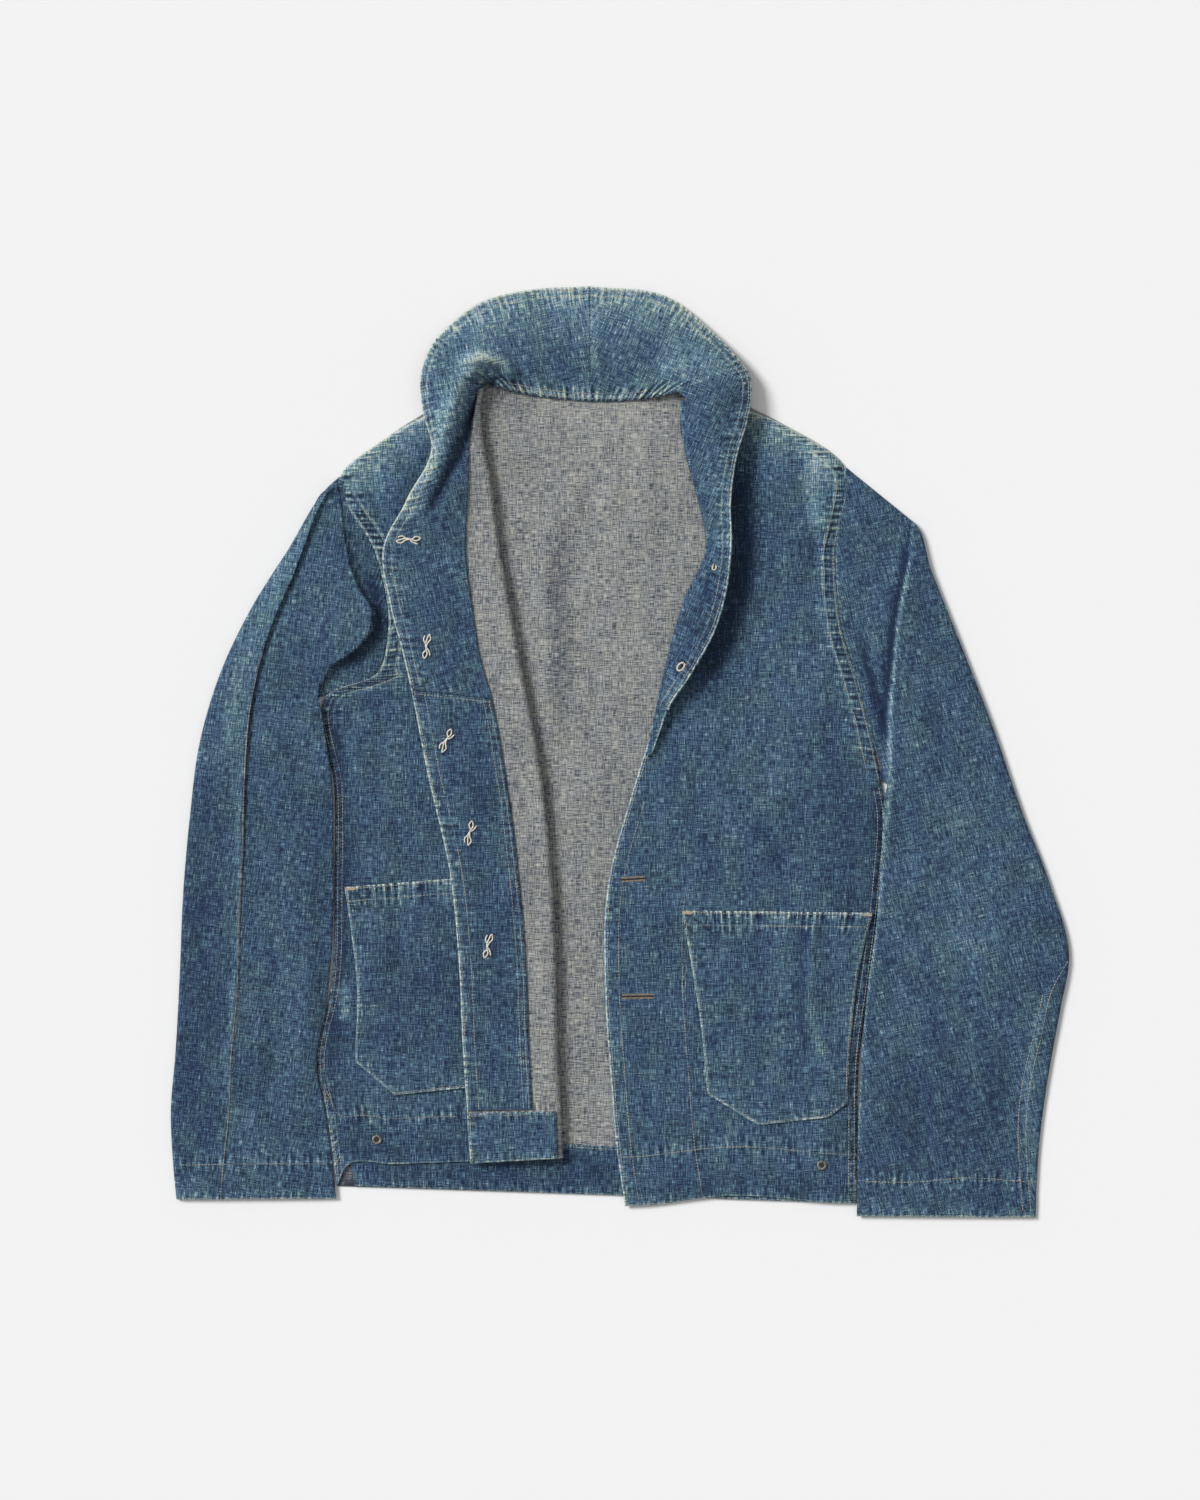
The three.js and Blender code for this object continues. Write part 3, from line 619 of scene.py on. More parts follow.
def right_front_points():
    """Rows from the side seam over the panel, round the roll and back across the folded half."""
    rows = []
    for at in range(NECK + 1):
        side, roll, edge = side_right[at], roll_right[at], flap_edge[at]
        into = toward(roll, side)
        near_side = np.subtract(side, into * EDGE_REACH) + (0, HEM_CORNER if at == 0 else 0)
        near_roll = roll + into * ROLL_RADIUS
        row = [(*side, edge_height(at))]
        row += [(*mix(near_side, near_roll, PANEL_SHARE * k / 4), FRONT_Z) for k in range(5)]
        for turn in range(-90, 91, 30):
            angle = math.radians(turn)
            reach = ROLL_RADIUS * (1 - math.cos(angle))
            row.append((*(roll + into * reach), ROLL_LOW + ROLL_RADIUS * (1 + math.sin(angle))))
        start = FACING_START[at]
        for s in [0.1] + [start + (1 - start) * k / 4 for k in range(5)]:
            row.append((*mix(near_roll, edge, s), flap_height(at, s)))
        rows.append(row)
    return np.array(rows)


def seam_and_armhole(rows):
    """Which shares of a front's outer edge are its side seam and its armhole."""
    armpit, shoulder = rows[ARMPIT] / rows[-1], rows[SHOULDER] / rows[-1]
    return (0, armpit), (armpit, shoulder)


right_points = right_front_points()
right_grid, right_rows, right_columns = refine(right_points, FRONT_STEP)
right_seam, right_armhole = seam_and_armhole(right_rows)
panel = right_grid[:, :right_columns[5]]
panel[..., 2] += strokes(panel, RIGHT_PANEL_FOLDS)
flap = right_grid[:, right_columns[-FLAP_COLUMNS - 1]:]
flap[..., 2] += strokes(flap, FLAP_FOLDS + COLLAR_RIGHT_FOLDS)
front_right = cloth(
    "front_right", [right_grid],
    seams=[
        ("first", 12, 0.5, 0.5, 0.5, 0.82), ("first", 6.5, 1.5, 0.12, 0.5, 0.82),
        ("first", 0.5, 0.7, 0.7), ("start", 43, 0.7, 0.15), ("start", 0, 0.3, 0.9)],
    wear_and_painted_light=[
        ([(-262, 240), (-214, 287), (-140, 325)], 0.34, 28, 30),
        ([(-225, 270), (-215, 230)], 0.1, 14),
        ([(-255, -200), (-248, -220), (-250, -245)], 0.4, 6),
        ([(-120, 40), (-110, -330)], -0.04, 30),
        # Painted shadow on the front beside the sleeve's edge, wide and faint, then narrow and dark.
        ([(-262, 30), (-256, -120), (-262, -380)], -0.08, 22),
        ([(-262, 90), (-257, 0), (-254, -110), (-256, -210), (-266, -300)], -0.3, 8),
        ([(-262, -360), (-200, -372), (-130, -372)], -0.14, 26)])
part_of_jacket(front_right)

# The right front's facing: a strip sewn on the wrong side along the front edge, blue face up. It
# stops above the hem's turn, and it carries the ends of the button threads.
facing_grid = moved(right_grid, -LAYER)
facing_rows = slice(right_rows[HEM_TURN], right_rows[ARMPIT] + 1)
facing_right_grid = facing_grid[facing_rows, right_columns[-FLAP_COLUMNS]:]
facing_right = cloth(
    "facing_right", [facing_right_grid], blue_out=False,
    seams=[("last", 0, 0.7, 1.0), ("last", 11, 0.4, 0.1), ("first", 3, 0.5, 0.1), ("end", 3, 0.4, 0.1)],
    wear_and_painted_light=[
        ([(-122, 78), (-125, 66), (-127, 52)], 0.5, 3),
        ([(-150, 60), (-120, -60), (-105, -330)], -0.06, 30)])
part_of_jacket(facing_right)

# The turned-up hem of the folded-back half: the front's own denim, with its blue face up, stitched
# along its top and its edge.
turn_grid = facing_grid[:right_rows[HEM_TURN], right_columns[-FLAP_COLUMNS - 2]:]
front_right_hem = cloth("front_right_hem", [turn_grid], blue_out=False, seams=[
    ("start", 0, 0.5, 0.8), ("end", 0, 0.7, 0.5), ("last", 0, 0.7, 0.9)])
part_of_jacket(front_right_hem)
sewn("front_right_stitching", [
    *lines_in(right_grid, [
        ("first", 2, *right_armhole), ("first", 11, *right_armhole), ("first", 3, *right_seam),
        ("first", 7, *right_seam), ("start", 41, 0, 0.38)]),
    *lines_in(facing_right_grid, [
        ("last", 2.5), ("last", 11), ("first", 3), ("first", 8), ("end", 3)], -1),
    *lines_in(turn_grid, [("end", 2.5), ("last", 2.5)], -1)])


# The left front: outer face up over the back, from its side seam to its edge, then rolled over
# at the edge into the lapel's lower layer. A soft ridge runs down it, and its pocket follows.
LAPEL_TUCK, LAPEL_LAP = 7, 3
HEM_RISE = 8
FACING_WIDTH = 70
RIDGE_HEIGHT, RIDGE_WIDTH = 2.5, 20
RIDGE_FOOT, RIDGE_TOP = (-390, -310), (-150, -50)
edge_left = [
    (4, -408), (-3, -360), (-9, -290), (-14, -214), (-11, -117), (9, -41), (27, 16), (39, 72), (50, 119),
    (76, 180), (63, 252), (54, 298), (54, 316)]
lapel_roll = [
    (24, -4), (27, 14), (33, 44), (43, 88), (58, 139), (77, 184), (69, 230), (60, 263), (54, 294),
    (54, 316)]
lapel_edge = [
    (29, 0), (36, 20), (44, 40), (63, 69), (86, 112), (100, 187), (99, 227), (104, 265), (113, 296),
    (117, 320)]
lapel_rise = [
    (5.8, 6, 6.4), (6.6, 8, 9), (8, 10, 13), (10, 14, 18), (11, 17, 22), (11, 18, 23), (11, 18, 21),
    (12, 19, 19), (13, 20, 17), (14, 21, 15)]
ridge_line = [(184, -405), (185, -310), (182, -250), (175, -187), (172, -139), (171, -40)]
LEFT_FOLDS = [
    ([(150, 292), (166, 232), (180, 160)], -2.4, 8, 6),
    ([(136, 285), (148, 215), (162, 140)], 2, 13),
    ([(186, 250), (184, 200), (190, 140)], 1.8, 8),
    ([(120, -60), (145, -95), (165, -122)], -2, 5, 8),
    ([(173, -145), (170, -200), (171, -244), (180, -268), (204, -318)], 2.8, 4, 9),
    ([(80, 90), (60, 0), (40, -110)], 1.6, 16),
    ([(214, 50), (206, 0), (212, -60)], 1.8, 8),
    ([(196, 60), (186, -40), (182, -110)], -1.4, 8),
    ([(30, -360), (90, -372), (190, -380)], 1.2, 9)]
# Painted highlight on the lit side of the pocket's ridge, and painted shade on its far side.
RIDGE_PAINTED_LIGHT_AND_SHADE = [
    ([(176, -145), (173, -200), (174, -244), (183, -268), (206, -318)], 0.22, 3, 4),
    ([(168, -145), (164, -200), (165, -250), (172, -280)], -0.22, 3, 7)]
LEFT_WEAR_AND_PAINTED_LIGHT = [
    ([(203, 258), (154, 293), (80, 322)], 0.36, 30),
    ([(190, 266), (178, 250), (172, 225), (178, 190)], 0.22, 13),
    ([(150, 150), (140, 60), (110, -60)], 0.05, 40),
    ([(20, -395), (120, -400), (212, -395)], -0.14, 16, 30),
    ([(222, 0), (212, -120), (206, -330)], -0.1, 20),
    # Painted shade along the side seam, where the sleeve's edge lies beside it.
    ([(238, 0), (235, -100), (226, -200), (216, -300), (213, -410)], -0.4, 6),
    # Painted shadow on the front below and beside the lapel's raised edge.
    ([(106, 285), (110, 240), (111, 170), (91, 100), (62, 40)], -0.36, 13),
    # Painted shade in two soft creases.
    ([(118, -58), (143, -93), (163, -120)], -0.16, 6, 9),
    ([(200, 60), (192, -40), (186, -110)], -0.12, 9, 12),
    *RIDGE_PAINTED_LIGHT_AND_SHADE]


def soft_step(value, low, high):
    """0 below low and 1 above high, with a soft slope between them."""
    t = np.clip((value - low) / (high - low), 0, 1)
    return t * t * (3 - 2 * t)


def ridge_place(y):
    """How far out the ridge runs at a height up the jacket."""
    return np.interp(y, [p[1] for p in ridge_line], [p[0] for p in ridge_line])


def fold_left_front(grid):
    """The folds that the left front and its pocket share."""
    x, y = grid[..., 0], grid[..., 1]
    fade = soft_step(y, *RIDGE_FOOT) * (1 - soft_step(y, *RIDGE_TOP))
    grid[..., 2] += RIDGE_HEIGHT * fade * np.exp(-(((x - ridge_place(y)) / RIDGE_WIDTH) ** 2))
    grid[..., 2] += strokes(grid, LEFT_FOLDS)


def left_front_points():
    """Rows from the front edge, tucked under the lapel above the armpit, out to the side seam."""
    rows = []
    for at in range(NECK + 1):
        side = np.array(side_left[at], float)
        into = toward(side, edge_left[at])
        edge = edge_left[at] - into * (LAPEL_TUCK if at > ARMPIT else 0)
        near_side = side + into * EDGE_REACH
        row = []
        for s in np.linspace(0, 1, 12):
            x, y = mix(edge, near_side, s)
            rise = HEM_RISE * math.sin(math.pi * s) ** 2 if at == 0 else 0
            row.append((x, y + rise, FRONT_Z))
        row.append((*side, edge_height(at)))
        rows.append(row)
    return np.array(rows)


def rise_points(inner, outer, rise):
    """Five points across a lapel or collar: inner line, over its middle, out to its free edge."""
    low, middle, high = rise
    return [(*mix(inner, outer, s), (1 - s) * (1 - 2 * s) * low + 4 * s * (1 - s) * middle
             + s * (2 * s - 1) * high) for s in (0, 0.25, 0.5, 0.75, 1)]


def lapel_points():
    """Rows from the front's edge, round its roll and out to the lapel's free edge."""
    rows = []
    for roll, edge, rise in zip(lapel_roll, lapel_edge, lapel_rise):
        out = toward(roll, edge)
        radius = (rise[0] - FRONT_Z) / 2
        row = [(*(roll + out * (radius + LAPEL_TUCK + LAPEL_LAP)), FRONT_Z)]
        for turn in range(-90, 61, 30):
            angle = math.radians(turn)
            row.append((*(roll + out * radius * (1 - math.cos(angle))),
                        FRONT_Z + radius * (1 + math.sin(angle))))
        rows.append(row + rise_points(roll + out * radius, edge, rise))
    return np.array(rows)


left_grid, left_rows, left_columns = refine(left_front_points(), FRONT_STEP)
left_seam, left_armhole = seam_and_armhole(left_rows)
fold_left_front(left_grid[:, :left_columns[-2]])
lapel_grid, lapel_rows, lapel_columns = refine(lapel_points(), FRONT_STEP)
front_left = cloth(
    "front_left", [left_grid, lapel_grid],
    seams=[
        ("first", 0, 0.4, 1.0), ("last", 12, 0.5, 0.5, 0.5, 0.85), ("last", 6.5, 1.3, 0.12, 0.5, 0.85),
        ("last", 0.5, 0.7, 0.8), ("start", 46, 0.7, 0.2), ("start", 0, 0.4, 0.9)],
    wear_and_painted_light=LEFT_WEAR_AND_PAINTED_LIGHT)
part_of_jacket(front_left)
sewn("front_left_stitching", [
    line_in(left_grid[:left_rows[ARMPIT]], "first", 3),
    line_in(left_grid[:left_rows[ARMPIT - 1]], "first", 13),
    line_in(left_grid[:left_rows[ARMPIT - 2]], "first", FACING_WIDTH),
    *lines_in(left_grid, [
        ("start", 44), ("last", 2, *left_armhole), ("last", 11, *left_armhole),
        ("last", 3, 0, 0.97 * left_seam[1]), ("last", 8, 0, 0.95 * left_seam[1])])])

# The lapel's lower facing, only the wedge that shows at the lapel's foot. It lies on the lapel's
# lower layer, and the shawl collar is sewn to its upper end.
ON_COLLAR = 1.6
LAPEL_SEAM = 2
on_lapel = moved(lapel_grid, ON_COLLAR)[:, lapel_columns[-5]:]
facing_left_grid = on_lapel[:lapel_rows[LAPEL_SEAM]]
facing_left = cloth(
    "facing_left", [facing_left_grid], seams=[("last", 0, 0.3, 1.0), ("end", 0, 0.2, 0.2)],
    wear_and_painted_light=[([(26, -6), (44, 44)], -0.1, 20)])
part_of_jacket(facing_left)


# The shawl collar: an under collar and an upper collar, each in two halves joined at the centre
# back, sewn round the neck and on down the fronts as the lapels. It stands up in a soft ridge.
neck_right = [(-126, 326), (-122, 332), (-111, 330), (-98, 326), (-85, 322.6), (-65, 319.4), (-27, 316)]
neck_edge_right = [
    (-176, 307), (-178, 341), (-170, 364), (-153, 384), (-126, 404), (-86, 415), (-27, 419)]
neck_rise_right = [
    (13, 21, 9), (11, 23, 8.5), (7, 20, 7), (4, 15, 5), (2.2, 11, 3), (1, 8, 1.5), (1, 7, 1)]
neck_left = [(54, 318), (52, 323.5), (42, 322.5), (22, 318.5), (0, 316.6), (-27, 316)]
neck_edge_left = [(117, 323), (115, 339), (106, 352), (82, 378), (43, 409), (-27, 419)]
neck_rise_left = [(14, 21, 15), (10, 20, 12), (6, 16, 9), (2.5, 11, 5), (1, 8.5, 2), (1, 7, 1)]
COLLAR_LEFT_FOLDS = [
    ([(34, 336), (62, 345), (92, 350), (116, 346)], 2.6, 10, 6),
    ([(92, 190), (80, 140), (60, 90)], -1.4, 6),
    ([(84, 300), (88, 260), (92, 215)], 1.8, 9),
    ([(-20, 345), (20, 342), (44, 336)], -1.2, 8)]
COLLAR_WEAR_AND_PAINTED_LIGHT = [
    # The curl's crest, worn pale and with a painted highlight on its lit side; then painted shade in the
    # valley beside it.
    (CURL_CREST, 0.38, 12, 14),
    ([(-176, 205), (-154, 250), (-141, 280), (-131, 305), (-124, 323), (-112, 336)], -0.34, 7, 6),
    ([(-126, 404), (-170, 364), (-178, 330), (-172, 290)], 0.12, 14),
    # The rim of the curl's loop, worn pale and with a painted highlight; then painted shade in the gap under
    # the curl.
    ([(-152, 345), (-137, 352), (-120, 354), (-106, 350), (-98, 341), (-98, 330)], 0.34, 4),
    ([(-141, 286), (-131, 306), (-122, 324), (-113, 335), (-105, 340)], -0.5, 4, 3.5),
    ([(-112, 328), (-60, 326), (0, 323), (55, 330)], 0.24, 8, 9),
    ([(-190, 350), (-150, 400), (-27, 430), (80, 405), (130, 350)], 0.33, 14, 60),
    ([(20, 340), (62, 346), (92, 350), (118, 344)], 0.2, 12),
    ([(-190, 150), (-150, 90), (-140, 40)], -0.04, 30),
    ([(104, 190), (84, 130), (50, 50)], -0.18, 16),
    ([(74, 290), (78, 240), (90, 190)], 0.03, 20, 14),
    ([(-20, 330), (-27, 370), (-30, 408)], 0.14, 3, 6)]
COLLAR_STEP = 2.2
collar_tops = {}


def collar_half(side, front, neck, up, seam, folds, grain, gathered):
    """One half of the collar: the under collar from the neck point on, and the upper one from its seam.
    It is gathered at the neck, from a share of its inner edge up."""
    last = len(front) - 1
    grid, rows, _ = refine(np.concatenate([front[:, -5:], neck[1:]]), COLLAR_STEP)
    grid[..., 2] += strokes(grid, folds)
    under = cloth("under_collar_" + side, [grid[rows[last] + 1:-1]], blue_out=up > 0,
                  seams=[("last", 0, 0.4, 0.8)])
    top = moved(grid, up * ON_COLLAR)[rows[seam]:]
    collar_tops[side] = top
    upper = cloth(
        "collar_" + side, [top], blue_out=up > 0, wear_and_painted_light=COLLAR_WEAR_AND_PAINTED_LIGHT, grain=grain,
        seams=[
            ("last", 8.5, 0.6, 0.3), ("last", 0, 0.7, 1.2), ("first", 4, 1.3, 0.45, gathered, 1),
            ("start", 3, 0.4, 0.1)])
    sewn("collar_" + side + "_stitching", lines_in(top, [
        ("last", 3), ("last", 8.5), ("first", 2.5, gathered, 1), ("first", 7, gathered, 1)], up))
    return under, upper


def neck_points(inner, edge, rise):
    """The collar's rows from the neck point round to the centre back."""
    return np.array([rise_points(*row) for row in zip(inner, edge, rise)])


around_right = neck_points(neck_right, neck_edge_right, neck_rise_right)
around_left = neck_points(neck_left, neck_edge_left, neck_rise_left)
under_right, collar_right = collar_half(
    "right", right_points, around_right, up=-1, seam=ARMPIT, folds=COLLAR_RIGHT_FOLDS, grain=12,
    gathered=0.74)
under_left, collar_left = collar_half(
    "left", lapel_points(), around_left, up=1, seam=LAPEL_SEAM, folds=COLLAR_LEFT_FOLDS, grain=-22,
    gathered=0.79)
part_of_jacket(under_right)
part_of_jacket(under_left)
part_of_jacket(collar_right)
part_of_jacket(collar_left)


# The patch pockets: one layer each with a stitched top hem and two cut-off lower corners, sewn
# on the fronts. Each side list runs from the bottom edge up.
ON_PANEL, OVER_FOLDS = 1.6, 0.6
POCKET_STEP = 2.0
CORNER_SHARES, OVER_CORNER = (0.5, 0.94), 0.08
POCKET_LINES = [("end", 13), ("first", 2), ("last", 2), ("start", 2)]
pocket_right_left = [(-203, -308), (-237, -279), (-238.5, -277), (-237, -209), (-243, -155), (-248, -121)]
pocket_right_right = [(-126, -300), (-90, -290), (-87.5, -287), (-83, -209), (-78, -155), (-74, -107)]
pocket_left_left = [(124, -335), (79.5, -308), (78, -305.5), (72, -244), (63, -187), (55, -142)]
pocket_left_right = [(186, -328), (203, -316), (204, -312.5), (207, -259), (216, -187), (227, -144)]
POCKET_SEAMS = [
    ("end", 0, 1.6, 1.0), ("end", 13, 0.7, 0.25), ("first", 0, 0.3, 0.7), ("last", 0, 0.3, 0.5),
    ("start", 0, 0.5, 0.8), ("first", 16, 0.3, 0.12)]


def pocket_grid(left, right):
    """A pocket between its two sides, with extra rows where its corners are cut off."""
    across = np.linspace(0, 1, 6)
    rows = [[(*mix(a, b, s), FRONT_Z + ON_PANEL) for s in across] for a, b in zip(left, right)]
    corner = [mix(rows[0], rows[1], share) for share in CORNER_SHARES]
    rows = [rows[0], *corner, *rows[1:3], mix(rows[2], rows[3], OVER_CORNER), *rows[3:]]
    return refine(np.array(rows), POCKET_STEP)[0]


def pocket(side, grid):
    """A pocket and its stitching, with a short dense bar of thread at each end of its mouth."""
    mouth = line_in(grid, "end", 2)
    bars = [(line[:6], ways[:6]) for line, ways in (mouth, (mouth[0][::-1], mouth[1][::-1]))]
    sewn("pocket_" + side + "_stitching", [mouth, *lines_in(grid, POCKET_LINES)])
    sewn("pocket_" + side + "_bars", bars, pitch=0.7, length=3.2, crosswise=True)
    # Its strokes include the ridge's painted highlight and painted shade.
    return cloth("pocket_" + side, [grid], seams=POCKET_SEAMS,
                 wear_and_painted_light=[([(-240, -200), (-160, -210), (-80, -200)], -0.08, 60)] + RIDGE_PAINTED_LIGHT_AND_SHADE)


right_pocket_grid = pocket_grid(pocket_right_left, pocket_right_right)
right_pocket_grid[..., 2] += strokes(right_pocket_grid, RIGHT_PANEL_FOLDS) + OVER_FOLDS
left_pocket_grid = pocket_grid(pocket_left_left, pocket_left_right)
fold_left_front(left_pocket_grid)
part_of_jacket(pocket("right", right_pocket_grid))
part_of_jacket(pocket("left", left_pocket_grid))


# The sleeves: each one a tube, pressed flat at the body's side, with a turned hem at the cuff.
# The right one has a long pressed pleat and an overlapping fold at the armpit. Rows run from the
# cuff up, and each from the body side to the outer side.
SLEEVE_ROLL = 1.8
SLEEVE_STEP = 3.1
UPPER_LAYER = (2, 4)
ARM_GAP = 0.55
PLEAT_STEP = [0.2, 0.2, 0.3, 0.5, 0.8, 1.3, 2, 3.2, 4, 4.2, 4.2]
PLEAT_LAP, PLEAT_HALFWAY = 0.022, 0.6
PLEAT_LINE = [(-340, 20), (-343, -79), (-343, -151), (-348, -217), (-353, -290), (-360, -350)]
sleeve_right_in = [
    (-259, -401), (-262, -371), (-268, -326), (-276, -281), (-268, -232), (-263, -182), (-261, -133),
    (-261, -79), (-262, -29), (-267, 9), (-271, 34)]
sleeve_right_out = [
    (-399, -402), (-402, -370), (-404, -322), (-400, -272), (-396, -200), (-393, -128), (-387, -59),
    (-378, 9), (-360, 70), (-332, 129), (-300, 180)]
sleeve_right_rise = [
    (3.4, 4, 3.4), (3.4, 4.2, 3.4), (3.4, 4.6, 3.6), (3.6, 5, 4), (3.8, 5.2, 4.2), (4, 5.4, 4.4),
    (4.4, 5.6, 4.6), (5, 6, 4.8), (6, 7, 5), (7, 8.5, 5), (8, 10, 5)]
PLEAT_SHARE = [0.74, 0.7, 0.64, 0.62, 0.62, 0.64, 0.65, 0.68, 0.74, 0.8, 0.86]
sleeve_left_in = [
    (215, -417), (215.5, -385), (217, -339), (219, -299), (221, -268), (225, -236), (228, -200),
    (234, -155), (238, -105), (240, -75), (240.5, -52), (239.5, -26)]
sleeve_left_out = [
    (373, -418), (374, -385), (378, -335), (386, -281), (395, -232), (403, -182), (386, -119), (361, -54),
    (333, 27), (304, 101), (279, 164), (263, 207)]
sleeve_left_rise = [
    (3.4, 4, 3.4), (3.6, 4.4, 3.4), (4, 5, 3.6), (4.6, 5.4, 4), (5, 6, 4.4), (5.6, 6.4, 4.6), (6, 7, 4.6),
    (6.6, 7.4, 4.8), (7.4, 8, 5), (8, 8.6, 5), (8.6, 9.4, 5), (9, 10, 6)]
crest_right = [
    (-271, 50, 6), (-268, 64, 8.5), (-262, 76, 10), (-248, 86, 11.5), (-234, 97, 13), (-225, 112, 13.5),
    (-224, 127, 13.5), (-233, 143, 12.5), (-243, 165, 10.5), (-249, 200, 6), (-254, 237, 4.4)]
crest_strip = [(-254.5, 239, 5.6), (-256, 241, 5.4), (-258, 243, 3.6)]
CREST_SHARES = [0, 0.07, 0.14, 0.22, 0.3, 0.38, 0.46, 0.54, 0.63, 0.8, 1]
CREST_FALL = [3, 5.5, 7, 8.5, 9.6, 9.8, 9.6, 8, 4.5, 1.5, 0.6, 0.6, 0.6, 0.4]
FOLD_STEPS = [(1.3, 0.22), (-2.2, 0.6), (2.4, 1)]
FOLD_FOOT = 0.7
fold_left = [(239.5, -26), (243, 40), (247, 86), (252, 132), (260, 171), (263, 207)]
HOLLOW_LEFT_RISE = 3.8
FOLD_OVERHANG = [1.6] * 5
OVERHANG_RIGHT = [2.4] * 9 + [2, 2] + FOLD_OVERHANG
OVERHANG_LEFT = [1.5, 1.5, 2.3, 2.3, 2.8, 4, 3.4, 3.2, 3.6, 3.5, 3] + FOLD_OVERHANG
NEAR, NEAR_MORE = 2.2, 0.3
LEFT_SHARES = np.linspace(0, 1, 9)
ARM_SHARES = [*np.linspace(0, 0.94, 11), 0.96, 0.98, 1]
SLEEVE_RIGHT_FOLDS = [
    ([(-232, 92), (-246, 78), (-262, 66)], 2.0, 4, 3),
    ([(-296, 130), (-314, 60), (-318, -20)], 1.8, 12),
    ([(-262, 150), (-246, 120), (-256, 96)], 2, 12, 9),
    ([(-240, 215), (-262, 170), (-285, 130)], 1.0, 10),
    ([(-275, -60), (-280, -200), (-276, -330)], 1.6, 10),
    ([(-306, -120), (-312, -240), (-316, -360)], -1.4, 10),
    ([(-330, -200), (-326, -300), (-332, -390)], 1.3, 9)]
SLEEVE_LEFT_FOLDS = [
    ([(256, -230), (270, -322), (284, -366)], -2.2, 8),
    ([(330, -250), (326, -330), (332, -410)], 1.6, 12),
    ([(236, 85), (224, 62), (226, 42), (238, 30)], 2.2, 4, 3.5),
    ([(262, 60), (276, -40), (270, -160)], 1.4, 14),
    ([(222, 78), (234, 54), (238, 24)], -2, 3),
    ([(330, -20), (340, -120), (330, -240)], 1.2, 16),
    ([(222, 150), (228, 110), (238, 70)], 1.4, 8, 6),
    ([(404, -180), (386, -216), (371, -275), (366, -330), (370, -420)], 0.8, 4)]


def spread(points, shares):
    """Points at chosen shares of the length of a soft line."""
    line = curve(points, 24)
    run = np.append(0, np.linalg.norm(np.diff(line[:, :2], axis=0), axis=1).cumsum())
    return np.column_stack([np.interp(np.array(shares) * run[-1], run, values) for values in line.T])


def risen(rise, s):
    """A pressed sleeve's height at a share of its width, steep at the body side and flat in the middle."""
    low, middle, high = rise
    if s < 0.5:
        return low + (middle - low) * math.sqrt(2 * s)
    return middle + (high - middle) * (2 * s - 1) ** 2


def armhole_row(side, turn, shares):
    """The armhole's points, a seam gap away from the body."""
    line = spread(side[ARMPIT:SHOULDER + 1], shares)
    run = np.gradient(line, axis=0)
    run /= np.linalg.norm(run, axis=1, keepdims=True)
    line = line + turn * ARM_GAP * np.column_stack([run[:, 1], -run[:, 0]])
    return np.column_stack([line, np.full(len(line), ARM_Z)])


def folded_under(crest, arm, fall):
    """Rows that carry a sleeve's cloth from the crest of a fold, over and under itself, down to its foot."""
    aside = arm[:, :2] - crest[:, :2]
    aside /= np.maximum(np.linalg.norm(aside, axis=1, keepdims=True), 1e-6)
    rows = [(crest, crest)]
    for reach, share in FOLD_STEPS:
        step = aside * reach * (fall / fall.max())[:, None]
        row = np.column_stack([crest[:, :2] + step, crest[:, 2] - fall * share])
        rows.append((row, crest[:, :2] + aside * FOLD_FOOT * len(rows)))
    return rows + [(arm, arm)]


def laid_on(grid, points, lift=ON_CLOTH):
    """A line given in plan, set on top of a piece, and its ways out."""
    points, flat = np.array(points, float), grid.reshape(-1, 3)
    heights = []
    for point in points:
        distance = np.linalg.norm(flat[:, :2] - point, axis=1)
        near = distance < max(NEAR, distance.min() + NEAR_MORE)
        heights.append(flat[near, 2].max() + lift)
    return np.column_stack([points, heights]), np.tile((0.0, 0.0, 1.0), (len(points), 1))


def tube(rows, overhang, reverse):
    """A sleeve's rings from rows of (top points, plan of the underside): body side, under, outer side."""
    rings = []
    for (top, plan), hang in zip(rows, overhang):
        top, plan = np.array(top, float), np.array(plan, float)[:, :2]
        under = np.column_stack([plan, np.full(len(plan), BACK_Z)])
        inner = np.append(plan[0], (top[0, 2] + BACK_Z) / 2)
        outer = np.append(plan[-1], (top[-1, 2] + BACK_Z) / 2)
        top[0, 0] -= math.copysign(hang, plan[-1, 0] - plan[0, 0])
        top[-1, :2] += toward(plan[-1], plan[-2]) * SLEEVE_ROLL
        under[0, :2] += toward(plan[0], plan[1]) * SLEEVE_ROLL
        under[-1, :2] += toward(plan[-1], plan[-2]) * SLEEVE_ROLL
        ring = np.vstack([inner, under, outer, top[::-1], inner])
        rings.append(ring[::-1] if reverse else ring)
    return np.array(rings)


def right_sleeve_rows():
    """The right sleeve's rings: pleated from the cuff up, then folded over itself at the armpit."""
    rows = []
    across = np.linspace(0, 1, len(CREST_SHARES))
    sides = zip(sleeve_right_in, sleeve_right_out, sleeve_right_rise, PLEAT_SHARE, PLEAT_STEP)
    for inner, outer, rise, pleat, step in sides:
        row = [(*mix(inner, outer, s * pleat), risen(rise, s * pleat)) for s in across]
        for s, lift in ((pleat - PLEAT_LAP, 1), ((1 + pleat) / 2, PLEAT_HALFWAY), (1, 0)):
            row.append((*mix(inner, outer, s), risen(rise, s) + step * lift))
        rows.append((row, mix(inner, outer, np.linspace(0, 1, len(row))[:, None])))
    crest = np.vstack([spread(crest_right, CREST_SHARES), crest_strip])
    arm = armhole_row(side_right, -1, ARM_SHARES)
    return tube(rows + folded_under(crest, arm, np.array(CREST_FALL)), OVERHANG_RIGHT, False)


